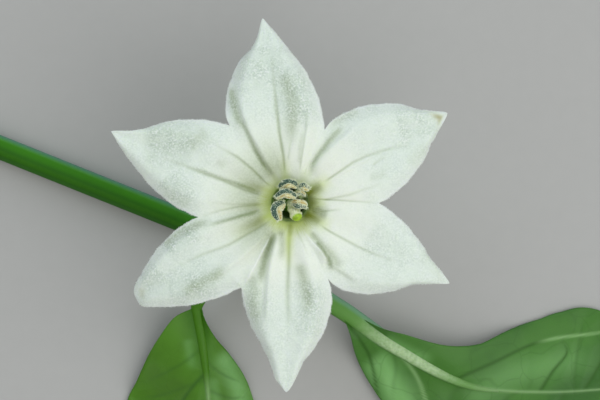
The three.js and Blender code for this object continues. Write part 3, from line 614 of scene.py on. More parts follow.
def limb_point(number, side, along):
    """Points of a lobe's inner face. Side runs from -1 to 1 across the lobe, and along from 0 at the
    mouth over 1 at the notches to 2 at the tip. In between, points are mixed from the mouth's
    circle, the midvein and the edges, and raised by the funnel, the folds, the pressed lines and the
    pleats. The tip's edges draw in to a narrow nose, which is rounded and bent aside. Small sines
    make the edges flutter."""
    tip_at, tip_reach, *_, lift, drop_first, drop_other = LOBES[number]
    draw_first, draw_other, bend, half_width, ridge_first, ridge_other, _ = LOBE_FINISH[number]
    place = np.abs(side)
    first = side < 0
    outward, inward = np.clip(along - 1, 0, 1), np.clip(along, 0, 1)
    reach, angle = lobe_edge(number, side, outward)
    reach = reach - np.where(first, draw_first, draw_other) * smooth((outward - 0.62) / 0.25) * smooth(
        (1 - outward) / 0.1)
    middle = polar(mix(SHOULDER_R, tip_reach, outward), tip_at)
    mouth = polar(MOUTH_R, mix(tip_at, angle, place))
    flat = mix(mouth, mix(middle, polar(reach, angle), place[..., None]), inward[..., None])
    rounding = np.sqrt(1 - np.clip((outward - 0.92) / 0.08, 0, 1) ** 2) * smooth((outward - 0.75) / 0.17)
    flutter = 0.02 * np.sin(23 * outward + number) + 0.015 * np.sin(51 * outward + 2 * number + 3 * first)
    shift = half_width * side * rounding + bend * np.clip((outward - 0.78) / 0.22, 0, 1) ** 2
    shift = shift + np.sign(side) * place**6 * flutter * smooth(outward / 0.08) * smooth((1 - outward) / 0.12)
    flat = flat + shift[..., None] * polar(1, tip_at + 90)
    radius = np.linalg.norm(flat, axis=-1)
    opening = smooth((radius - MOUTH_R) / (FOLD_FULL_R - MOUTH_R))
    ridge = np.where(first, ridge_first, ridge_other)
    fold = FOLD_HEIGHT * ridge * opening * (1 - outward**2) * fold_across(place)
    drop = 4 * np.where(first, drop_first, drop_other) * outward * (1 - outward) * place**4
    flat_places = flat.reshape(-1, 2)
    pleated, crest = pleats(flat_places)
    vein, shade, flush, rough, bank, pleated, crest, puckered = (
        mark.reshape(radius.shape) for mark in (
            grooves(VEINS, flat_places), patches(PAINTED_SHADES, flat_places), patches(FLUSHES, flat_places, falling),
            patches(ROUGH_AREAS, flat_places), banks(FOLDS, flat_places), pleated, crest,
            puckers(flat_places)))
    height = open_height(radius) + fold - drop + lift * outward**4
    height += bank * (1 - place**12) + pleated - vein + puckered * opening
    rough = np.maximum(0.85 * rough, 0.22 * smooth((radius - 5) / 3))
    return np.concatenate([flat, height[..., None]], -1), vein, shade + throat_painted_shade(flat), flush, rough, crest


def tube_radius(height):
    """The tube widens with the square of the height."""
    return mix(TUBE_R, MOUTH_R, np.clip((height - TUBE_Z) / (MOUTH_Z - TUBE_Z), 0, 1) ** 2)


def behind(points, slope, thick):
    """Points one wall thickness behind the inner face, square to its rise away from the axis."""
    radius = np.linalg.norm(points[..., :2], axis=-1)
    shift = thick / np.hypot(1, slope)
    wider = (radius + slope * shift) / radius
    return np.stack([points[..., 0] * wider, points[..., 1] * wider, points[..., 2] - shift], -1)


def lobe_part(number, thick):
    """One lobe with its share of the tube, as a thin body that is open where it joins its
    neighbours. The wall thins to a third at the free edges. Rows crowd towards the tip. Across is
    the place across the lobe, about 1 a millimetre, and outwards the distance from the axis in
    millimetres, a little more on the outside and to the top, where the throat's colour ends sooner.
    Depth is 1 down in the tube."""
    columns, tube_rows, inner_rows, outer_rows = 104, 6, 24, 46
    half_width, full_vein, thinned_by = 3, 0.08, 0.66
    tip_at, brown = LOBES[number][0], LOBE_FINISH[number][6]
    side = np.linspace(-1, 1, columns + 1)
    share = np.arange(tube_rows) / tube_rows
    height = np.broadcast_to(mix(TUBE_Z, MOUTH_Z, share)[:, None], (tube_rows, columns + 1))
    _, notch = lobe_edge(number, side, np.zeros_like(side))
    angle = np.broadcast_to(mix(tip_at, notch, np.abs(side)), height.shape)
    tube_face = np.concatenate([polar(tube_radius(height), angle), height[..., None]], -1)
    plain = np.zeros(height.shape)
    crowded = 1 - (1 - np.arange(outer_rows + 1) / outer_rows) ** 1.25
    along = np.concatenate([np.arange(inner_rows) / inner_rows, 1 + crowded])
    side_grid, along_grid = np.broadcast_arrays(side[None, :], along[:, None])
    limb_face, *marks = limb_point(number, side_grid, along_grid)
    face = np.concatenate([tube_face, limb_face])
    radius = np.linalg.norm(face[..., :2], axis=-1)
    limb_slope = (FUNNEL_RISE / FUNNEL_REACH) * np.exp((MOUTH_R - radius) / FUNNEL_REACH)
    limb_slope -= 2 * RECURVE * np.maximum(0, radius - RECURVE_FROM)
    steep = np.clip((face[..., 2] - TUBE_Z) / (MOUTH_Z - TUBE_Z), 0.01, 1)
    tube_slope = (MOUTH_Z - TUBE_Z) / (2 * (MOUTH_R - TUBE_R) * steep)
    rows = np.arange(len(face))[:, None]
    slope = np.where(rows < tube_rows, tube_slope, limb_slope)
    outward = np.concatenate([np.zeros(tube_rows), np.clip(along - 1, 0, 1)])[:, None]
    rim = smooth(outward / 0.1) * np.abs(side)[None, :] ** 10
    wall = thick * (1 - thinned_by * np.maximum(rim, smooth((outward - 0.9) / 0.1)))
    vein, shade, flush, rough, crest = (np.concatenate([plain, mark]) for mark in marks)
    back = behind(face, slope, wall + 0.5 * vein)
    inside, outside = np.array([1, 0])[:, None, None], np.array([0, 1])[:, None, None]
    to_top = np.clip((face[..., :2] @ polar(1, 80)) / radius, 0, 1) ** 2
    return sheet_between(
        face, back, tube_rows + inner_rows,
        vein=vein / full_vein,
        shade=shade,
        flush=flush,
        rough=rough,
        # Rim is a painted highlight along the free edges and the pleats' crests.
        rim=np.maximum(crest, smooth(outward / 0.05) * np.abs(side)[None, :] ** 30),
        across=side * half_width,
        outwards=radius + 0.75 * to_top + 0.9 * outside,
        depth=smooth((MOUTH_Z + 0.06 - face[..., 2]) / 0.5) * smooth((2.6 - radius) / 0.6) * inside,
        tip=brown * np.exp(-(((outward - 0.9) / 0.04) ** 2) - ((side - 0.1) / 0.5) ** 2),
    )


def filament_part(number):
    """A filament: a thin rod from the tube's wall, bent upwards to the anther's back."""
    rows, columns = 32, 16
    foot_radius, end_radius = 0.16, 0.1
    _, back, _, thick = ANTHERS[number]
    root_z = TUBE_Z + 0.85
    root = [*polar(tube_radius(root_z) + 0.15, FILAMENT_ANGLES[number]), root_z]
    bend = [*polar(0.95, FILAMENT_ANGLES[number]), MOUTH_Z - 1]
    end = np.array(over_mouth(back)) - [0, 0, 0.4 * thick]
    share = np.linspace(0, 1, rows)
    radii = np.repeat(mix(foot_radius, end_radius, share)[:, None], columns, 1)
    return tube(swept(curve_at([root, bend, end], share), radii, up=(0, 1, 0)))


# Stamens


def anther_rings(number):
    """An anther: along its bend two lobes lie side by side. Each ring is the outline of two circles
    that overlap, which leaves a furrow above and below. Its size follows a flattened arch, and
    waves along and round it crumple the burst walls."""
    rows, columns = 72, 64
    offset, circle = 0.5, 0.52
    *bend, thick = ANTHERS[number]
    share = np.linspace(0, 1, rows)
    path = curve_at([over_mouth(point) for point in bend], share)
    turn = np.linspace(0, TURN, columns, endpoint=False)
    half_chord = np.sqrt(np.maximum(circle**2 - (offset * np.sin(turn)) ** 2, 0.004))
    outline = offset * np.abs(np.cos(turn)) + half_chord
    size = thick * np.maximum(0.1, np.sin(np.pi * mix(0.04, 0.96, share))) ** 0.5
    t, around = share[:, None], turn[None, :]
    crumple = 0.05 * np.sin(7 * around + 22 * t + number) * np.sin(17 * t + 2 * number)
    crumple = crumple + 0.04 * np.sin(13 * around - 41 * t) + 0.06 * np.sin(3 * around + 11 * t + 2 * number)
    lean = 1 + 0.12 * np.sin(9 * t + number) * np.cos(around)
    return swept(path, size[:, None] * outline[None, :] * (1 + crumple) * lean, up=(0.1, 0, 1)), turn, share


def anther_part(number):
    """The anther's body. Slate is 1 on the outer lobe and 0 on the inner one, which has burst open.
    Seam is 1 along the furrow, at the outer edge and at both ends, where pollen gathers. Stripe is a
    cosine of nine waves round the body, which wanders along it."""
    rings, turn, share = anther_rings(number)
    furrow = np.exp(-(((turn - np.pi / 2 - 0.1) / 0.2) ** 2))
    outside = np.exp(-(((turn + 0.05) / 0.22) ** 2)) + np.exp(-(((turn - TURN + 0.05) / 0.22) ** 2))
    slate = smooth((np.cos(turn) + 0.12) / 0.2)
    ends = smooth((np.abs(share - 0.5) - 0.4) / 0.08)
    return tube(
        rings,
        slate=slate[None, :] * (1 - 0.5 * ends[:, None]),
        stripe=0.5 + 0.5 * np.cos(9 * turn[None, :] + 2 * np.sin(6 * share[:, None])),
        seam=np.maximum((furrow + outside)[None, :], ends[:, None]),
    )


def grains(centres, radii, turns):
    """Pollen: small faceted balls. Each is one twenty-sided ball, turned about its upright axis."""
    golden = (1 + 5**0.5) / 2
    corners = np.array([
        (-1, golden, 0), (1, golden, 0), (-1, -golden, 0), (1, -golden, 0), (0, -1, golden), (0, 1, golden),
        (0, -1, -golden), (0, 1, -golden), (golden, 0, -1), (golden, 0, 1), (-golden, 0, -1), (-golden, 0, 1),
    ]) / np.hypot(1, golden)
    faces = np.array([
        (0, 11, 5), (0, 5, 1), (0, 1, 7), (0, 7, 10), (0, 10, 11), (1, 5, 9), (5, 11, 4), (11, 10, 2),
        (10, 7, 6), (7, 1, 8), (3, 9, 4), (3, 4, 2), (3, 2, 6), (3, 6, 8), (3, 8, 9), (4, 9, 5),
        (2, 4, 11), (6, 2, 10), (8, 6, 7), (9, 8, 1),
    ])
    turned = np.stack([
        corners[None, :, 0] * np.cos(turns)[:, None] - corners[None, :, 1] * np.sin(turns)[:, None],
        corners[None, :, 0] * np.sin(turns)[:, None] + corners[None, :, 1] * np.cos(turns)[:, None],
        np.broadcast_to(corners[None, :, 2], (len(turns), len(corners))),
    ], -1)
    points = centres[:, None] + turned * radii[:, None, None]
    triangles = faces[None] + len(corners) * np.arange(len(centres))[:, None, None]
    return points.reshape(-1, 3), triangles.reshape(-1, 3), {}


def pollen_part(settings):
    """Pollen on the anthers, the stigma and the style. On an anther it gathers along the outer
    edge, the furrow and the burst inner lobe, at normally spread turns round the body. The number in
    the settings is for an anther of the usual thickness, and a thinner one carries less."""
    usual_thick = 0.36
    on_stigma, first_row, crown_row = 260, 34, 66
    rng = np.random.default_rng(7)
    centres = []
    for number, (*_, thick) in enumerate(ANTHERS):
        rings, turn, _ = anther_rings(number)
        count = int(settings.pollen_count * thick / usual_thick)
        wanted = np.concatenate([
            rng.normal(0.0, 0.16, count // 3),
            rng.normal(np.pi / 2 + 0.1, 0.14, count // 3),
            rng.normal(np.pi - 0.1, 0.2, count // 5),
            rng.uniform(np.pi / 2, np.pi, count // 5),
            rng.uniform(0, np.pi / 2, int(count * ANTHER_DUST[number])),
        ])
        column = np.round(wanted / TURN * len(turn)).astype(int) % len(turn)
        row = rng.integers(1, len(rings) - 1, len(column))
        centres.append(rings[row, column] + rng.normal(0, 0.018, (len(column), 3)))
        tip = rings[rng.choice([0, 1, 2, len(rings) - 1, len(rings) - 2], count // 8), 0]
        centres.append(tip + rng.normal(0, 0.07, (len(tip), 3)))
    rings = stigma_rings()
    row = rng.integers(first_row, len(rings) - 3, on_stigma)
    column = rng.integers(0, rings.shape[1], on_stigma)
    kept = rng.uniform(0, 1, on_stigma) < np.where(row > crown_row, 0.25, 0.6)
    centres.append(rings[row[kept], column[kept]] + rng.normal(0, 0.012, (kept.sum(), 3)))
    centres = np.concatenate(centres)
    radii = settings.pollen_radius / MM * rng.uniform(0.6, 1.3, len(centres))
    radii *= np.where(rng.uniform(0, 1, len(centres)) < 0.12, 1.6, 1)
    return grains(centres, radii, rng.uniform(0, TURN, len(centres)))


# Pistil


def stigma_rings():
    """Ovary, style and stigma: one profile along a path, an egg below, a thin style, and a knob
    with a flat crown above. Waves of eleven and four round it make the style rough."""
    rows, columns = 90, 48
    style_radius, knob_radius, egg_bulge = 0.27, 0.4, 0.48
    share = np.linspace(0, 1, rows)
    path = curve_at(
        [(0, 0, TUBE_Z), (0, 0, TUBE_Z + 1.9), over_mouth((0.15, -0.3, 0.2)), over_mouth(STIGMA_AT)],
        share)
    egg = style_radius + egg_bulge * np.sin(np.pi * mix(0.2, 1, np.clip(share * 3, 0, 1)))
    style = mix(style_radius, knob_radius, smooth((share - 0.55) / 0.3))
    crown = np.sqrt(np.clip(1 - ((share - 0.92) / 0.085).clip(0, 1) ** 2, 0.02, 1))
    radius = np.where(share < 1 / 3, egg, style) * crown
    turn = np.linspace(0, TURN, columns, endpoint=False)
    t, around = share[:, None], turn[None, :]
    lobed = 1 + 0.1 * smooth((t - 0.86) / 0.06) * np.cos(2 * around + 0.8)
    frayed = smooth((t - 0.5) / 0.1) * smooth((0.93 - t) / 0.04)
    rough = 1 + frayed * (0.13 * np.sin(11 * around + 60 * t) + 0.12 * np.sin(4 * around - 31 * t))
    return swept(path, radius[:, None] * lobed * rough, up=(0, 1, 0))


def pistil_part():
    """The pistil. Crown is 1 on top of the stigma, and ovary is 1 on the ovary."""
    rings = stigma_rings()
    share = np.linspace(0, 1, len(rings))[:, None]
    return tube(rings, crown=smooth((share - 0.94) / 0.03), ovary=smooth((0.4 - share) / 0.08))


# Calyx and stalks


def calyx_part():
    """The calyx: a cup turned from a profile of radius, height and the share of the teeth's height.
    A cosine of six waves round it gives the ribs and the rim's teeth."""
    rows, columns, teeth = 72, 144, 6
    tooth_height, rib_height = 0.25, 0.07
    rim, floor = CALYX_Z + 3.1, CALYX_Z + 1.6
    share = np.linspace(0, 1, rows)[:, None]
    profile = curve_at([
        (0.95, CALYX_Z, 0), (1.6, CALYX_Z + 0.45, 0), (2.2, CALYX_Z + 1.3, 0.3),
        (2.45, CALYX_Z + 2.2, 0.6), (2.46, rim - 0.2, 1), (2.34, rim, 1), (2.2, rim - 0.15, 1),
        (2.1, CALYX_Z + 2.1, 0.3), (1.75, floor, 0),
    ], share[:, 0])
    turn = np.linspace(0, TURN, columns, endpoint=False)
    wave = np.cos(teeth * turn)
    outside = smooth((0.62 - share) / 0.1)
    rib = (rib_height * np.exp(-((1 - wave) / 0.25)) - 0.02)[None, :] * outside * smooth(share / 0.15)
    radius = profile[:, :1] + rib
    height = profile[:, 1:2] + tooth_height * profile[:, 2:] * np.sign(wave) * np.abs(wave) ** 1.3
    height = np.broadcast_to(height, radius.shape)
    rings = np.stack([radius * np.cos(turn), radius * np.sin(turn), height], -1)
    return tube(rings, ridge=np.exp(-((1 - wave) / 0.3))[None, :] * outside)


def pedicel_part():
    """The flower's stalk: five long ridges turn slowly round a path from the joint to the calyx,
    and it widens at its end."""
    rows, columns, ridge_count, ridge_height = 96, 60, 5, 0.045
    x, y, z = JOINT_AT
    share = np.linspace(0, 1, rows)[:, None]
    path = curve_at([
        (x, y, z + 0.9), (x - 0.1, y + 0.3, z + JOINT_R + 0.25), (x - 0.5, y + 0.9, z + JOINT_R + 1.6),
        (x + 0.1, y + 1.9, z + JOINT_R + 3.2), (-0.5, -0.6, CALYX_Z - 1.9),
        (-0.05, -0.05, CALYX_Z - 0.9), (0, 0, CALYX_Z + 0.3),
    ], share[:, 0])
    turn = np.linspace(0, TURN, columns, endpoint=False)[None, :]
    ridges = np.cos(ridge_count * turn + 1.5 * share)
    radius = mix(0.58, 0.82, smooth((share - 0.55) / 0.4)) + 0.25 * smooth((0.16 - share) / 0.16)
    radius = radius + 0.35 * smooth((share - 0.95) / 0.05)
    rings = swept(path, radius * (1 + ridge_height * ridges), up=(0, 1, 0))
    return tube(rings, ridge=smooth(ridges))


def stem_part():
    """The stem: a level line that rises to the joint, where it swells. Five low ridges run along
    it, its cut end is sliced a little hollow, and it is flat where it lies on the surface. A painted
    sheen is 1 along its +Y side, and painted shade on the underside along the other."""
    rows, columns, ridge_count, ridge_height = 260, 80, 5, 0.03
    share = np.linspace(0, 1, rows)
    level = STEM_R * np.cos(np.pi / STEM_SIDES)
    flat = STEM_END + 1.04 * share[:, None] * (JOINT_AT[:2] - STEM_END)
    rise = mix(level, JOINT_AT[2], smooth((share - 0.6) / 0.4))
    path = np.column_stack([flat, rise])
    dome = np.sqrt(np.clip(1 - ((share - 0.955) / 0.045).clip(0, 1) ** 2, 0.02, 1))
    swell = smooth((share - 0.72) / 0.18)
    radius = (mix(STEM_R, JOINT_R, swell) * dome)[:, None]
    swell = swell[:, None]
    turn = np.linspace(0, TURN, columns, endpoint=False)[None, :]
    ridges = np.cos(ridge_count * turn + 0.6)
    rings = swept(path, radius * (1 + ridge_height * (ridges - 1) * (1 - 0.5 * swell)))
    rings[..., 2] = np.maximum(rings[..., 2], 0)
    upper_side = (rings[..., 1] - path[:, None, 1]) / radius
    # The cut is made of smaller rings inside the first one, each a little deeper in the stem.
    closing = np.array([0.9, 0.6, 0.3, 0.02])[:, None]
    hollow = np.array([0.0, 0.03, 0.06, 0.07])[:, None, None] * directions(path)[0]
    end = rings[0].mean(0)
    cut = end + (rings[:1] - end) * closing[..., None] + hollow
    on_cut, on_skin = np.zeros((len(cut), columns)), np.zeros((rows, columns))
    return tube(
        np.concatenate([cut[::-1], rings]),
        ridge=np.concatenate([on_cut, on_skin + smooth(ridges)]),
        bloom=np.concatenate([on_cut, smooth((upper_side - 0.45) / 0.45) * (1 - 0.7 * swell)]),
        under=np.concatenate([on_cut, smooth((0.35 - upper_side) / 0.5) * (1 - 0.6 * swell)]),
        pith=np.concatenate([on_cut + 1 - closing[::-1], on_skin]),
        cut=np.concatenate([on_cut + 1, on_skin]),
    )


# Leaves


def leaf_ground(leaf, shares, sides):
    """Points of a blade's underside at shares of its midrib's length and at sides from -1 to 1. A
    point is mixed from the midrib's curve and the edge, which lies square to the midrib at its own
    share. The blade is cupped near the stalk, rippled at its edges, and never below the surface."""
    shares, sides = np.broadcast_arrays(shares, sides)
    shape = shares.shape
    shares, sides = shares.reshape(-1), sides.reshape(-1)
    place = np.abs(sides)
    centre = curve_at(leaf["rib"], shares)
    points = np.zeros((len(shares), 3))
    step = 1e-4
    for half, sign in ((0, -1), (1, 1)):
        chosen = sides < 0 if half == 0 else sides >= 0
        edge = spline_at(leaf["edges"][half], shares[chosen])
        foot = curve_at(leaf["rib"], edge[:, 0])
        near = curve_at(leaf["rib"], np.clip(edge[:, 0] + step, 0, 1)) - curve_at(
            leaf["rib"], np.clip(edge[:, 0] - step, 0, 1))
        way = near[:, :2] / np.linalg.norm(near[:, :2], axis=1, keepdims=True)
        out = sign * edge[:, 1:2] * np.stack([-way[:, 1], way[:, 0]], -1)
        flat = mix(centre[chosen, :2], foot[:, :2] + out, place[chosen, None])
        t = shares[chosen]
        cup = leaf["cup"][half] * place[chosen] * smooth(t / 0.35) * smooth((0.62 - t) / 0.5)
        ripple = leaf["wave"][half] * np.sin(WAVES * np.pi * t) * place[chosen] ** 2
        height = np.maximum(0, centre[chosen, 2] + cup + ripple)
        points[chosen] = np.column_stack([flat, height])
    return points.reshape(*shape, 3)


def side_vein_lines(leaf):
    """Side veins as lines in the plane: each leaves the midrib at its share and leans forward as it
    nears the edge, by a share that grows with its distance from the midrib to the power 1.4."""
    place = np.linspace(0, 0.93, 14)
    lines = []
    for side, start in leaf["side_veins"]:
        lean = 0.34 * (1 - start) * place**1.4 + 0.05 * place
        lines.append(leaf_ground(leaf, np.clip(start + lean, 0, 1), side * place)[:, :2])
    return lines


def leaf_part(name, settings):
    """A leaf. Its blade is a thin body over the underside's grid: between the side veins it bulges
    up, each vein lies in a groove, and the midrib stands a little proud. The stalk is a rod that
    sinks into the blade as it thins."""
    leaf = LEAVES[name]
    rows, columns, stalk_rows, stalk_columns = 170, 96, 200, 40
    bulge_height, vein_depth, midrib_height, end_radius = 0.12, 0.04, 0.06, 0.12
    shares = np.linspace(0, 1, rows + 1)[:, None]
    sides = np.linspace(-1, 1, columns + 1)[None, :]
    ground = leaf_ground(leaf, shares, sides)
    flat = ground[..., :2].reshape(-1, 2)
    pale_vein, dark_vein = np.zeros((2, len(flat)))
    nearest = np.full(len(flat), np.inf)
    drawn = [(turns, 1, curve_at(line, np.linspace(0, 1, 24))) for turns, line in leaf["veins"]]
    faint = [(0.9, 0.45, line) for line in side_vein_lines(leaf)]
    for turns, darkness, line in drawn + faint:
        distance, share = nearest_on(line, flat)
        distance = np.abs(distance)
        bell = np.exp(-((distance / mix(0.17, 0.09, share)) ** 2)) * smooth((1 - share) / 0.3)
        paler = smooth((share - turns) / 0.12)
        pale_vein = np.maximum(pale_vein, bell * paler)
        dark_vein = np.maximum(dark_vein, bell * (1 - paler) * darkness)
        nearest = np.minimum(nearest, distance)
    side_vein = np.maximum(pale_vein, dark_vein)
    rib = curve_at(leaf["rib"], np.linspace(0, 1, 60))
    from_rib, along_rib = nearest_on(rib[:, :2], flat)
    near_side = mix(mix(0.25, 1, leaf["shaded"]), 1, from_rib < 0)
    from_rib = np.abs(from_rib)
    # Painted shade along the stalk, on both sides of a shaded leaf and mostly on one side of the other.
    near_stalk = np.exp(-((from_rib / leaf["painted_shade_width"]) ** 2) - (along_rib / 0.24) ** 2) * near_side
    midrib = np.exp(-((from_rib / mix(0.2, 0.08, smooth(along_rib / 0.8))) ** 2))
    bulge = bulge_height * smooth(np.minimum(nearest, from_rib) / 1.2)
    rim = smooth((np.abs(sides) - 0.97) / 0.03)
    shape = ground.shape[:2]
    relief = (bulge - vein_depth * side_vein + midrib_height * midrib).reshape(shape) * (1 - rim)
    thick = settings.leaf_thickness / MM
    upper = ground + np.stack([0 * relief, 0 * relief, thick + relief], -1)
    blade = sheet_between(
        upper, ground,
        vein=pale_vein.reshape(shape),
        dark_vein=dark_vein.reshape(shape),
        glint=patches(leaf["glints"], flat).reshape(shape),
        midrib=(midrib * smooth((along_rib - 0.2) / 0.1)).reshape(shape),
        near_stalk=near_stalk.reshape(shape),
    )
    line = curve_at(leaf["rib"], np.linspace(0, 0.4, 14))
    sink = np.linspace(0, 1, len(line))
    line[:, 2] = np.maximum(0, line[:, 2]) + thick - 0.35 * mix(leaf["stalk_radius"], end_radius, sink**2)
    start = len(leaf["stalk"]) / (len(leaf["stalk"]) + len(line) - 1)
    share = np.linspace(0, 1, stalk_rows)[:, None]
    path = curve_at(np.concatenate([leaf["stalk"], line]), share[:, 0])
    turn = np.linspace(0, TURN, stalk_columns, endpoint=False)[None, :]
    on_blade = np.clip((share - start) / (1 - start), 0, 1)
    radius = mix(leaf["stalk_radius"], end_radius, on_blade**2)
    channel = 1 - 0.06 * np.exp(-(((turn - np.pi / 2) / 0.4) ** 2)) * smooth((0.6 - share) / 0.3)
    rings = swept(path, radius * channel)
    rings[..., 2] = np.maximum(rings[..., 2], 0.02)
    streak = smooth((on_blade - 0.05) / 0.35) * smooth((0.85 - on_blade) / 0.3)
    rod = tube(
        rings,
        stalk=smooth((1 - on_blade) / 0.3),
        streak=streak * smooth(np.sin(turn) / 0.9),
        midrib=1.0,
        # The stalk is lit on top and carries a painted sheen on one upper side: painted light.
        top=smooth((np.sin(turn) + 0.1) / 0.9),
        bloom=smooth((-np.cos(turn) - 0.3) / 0.5) * (np.sin(turn) > 0) * smooth((0.7 - on_blade) / 0.4),
    )
    part = joined([facing_out(welded(blade)), rod])
    part[2]["shaded"] = np.full(len(part[0]), leaf["shaded"])
    return part


# Hairs


def hairs(roots, ways, lengths, radius):
    """Fine hairs: each is a three-sided spike from its root along its way."""
    side = np.cross(ways, [0.31, 0.52, 0.8])
    side /= np.linalg.norm(side, axis=1, keepdims=True)
    other = np.cross(ways, side)
    turn = TURN * np.arange(3) / 3
    ring = side[:, None] * np.cos(turn)[None, :, None] + other[:, None] * np.sin(turn)[None, :, None]
    base = roots[:, None] + radius * ring
    points = np.concatenate([base, (roots + ways * lengths[:, None])[:, None]], 1)
    faces = np.array([(0, 2, 1), (0, 1, 3), (1, 2, 3), (2, 0, 3)])
    triangles = faces[None] + 4 * np.arange(len(roots))[:, None, None]
    return facing_out((points.reshape(-1, 3), triangles.reshape(-1, 3), {}))


def rim_hair_part(settings):
    """Short hairs along the lobes' free edges. They point away from the lobe, spread at random."""
    first, last, sunk = 1.03, 1.94, 0.05
    rng = np.random.default_rng(11)
    roots, ways = [], []
    for number in range(len(LOBES)):
        for side in (-1.0, 1.0):
            along = mix(first, last, np.sort(rng.uniform(0, 1, settings.rim_hair_count)))
            root = limb_point(number, np.full(len(along), side), along)[0]
            inner = limb_point(number, np.full(len(along), 0.9 * side), along)[0]
            way = directions(root)
            out = np.stack([way[:, 1], -way[:, 0]], -1)
            away = root[:, :2] - inner[:, :2]
            out *= np.sign(np.einsum("ij,ij->i", out, away))[:, None]
            roots.append(root - [0, 0, sunk])
            ways.append(np.column_stack([out, np.zeros(len(out))]) + rng.normal(0, 0.4, (len(out), 3)))
    roots, ways = np.concatenate(roots), np.concatenate(ways)
    ways /= np.linalg.norm(ways, axis=1, keepdims=True)
    lengths = settings.rim_hair_length / MM * rng.uniform(0.4, 1.2, len(roots))
    return hairs(roots, ways, lengths, radius=0.018)


# Materials

# The sockets of a Mix node that mixes colours: its factor, its two colours and its result.
FACTOR, FIRST, SECOND, MIXED = 0, 6, 7, 2


def linear(colour):
    """An sRGB hex colour as linear red, green, blue and alpha."""
    parts = np.array([int(colour[place:place + 2], 16) / 255 for place in (1, 3, 5)])
    parts = np.where(parts <= 0.04045, parts / 12.92, ((parts + 0.055) / 1.055) ** 2.4)
    return (*parts.tolist(), 1.0)


def new_material(name):
    material = bpy.data.materials.new(name)
    material.use_nodes = True
    material.node_tree.nodes.clear()
    return material


def add_node(material, kind, inputs=None, **settings):
    """Adds a node with its settings. Each of its inputs is a value, or the socket that feeds it."""
    made = material.node_tree.nodes.new(kind)
    for name, value in settings.items():
        setattr(made, name, value)
    for name, value in (inputs or {}).items():
        if isinstance(value, bpy.types.NodeSocket):
            material.node_tree.links.new(value, made.inputs[name])
        else:
            made.inputs[name].default_value = value
    return made.outputs


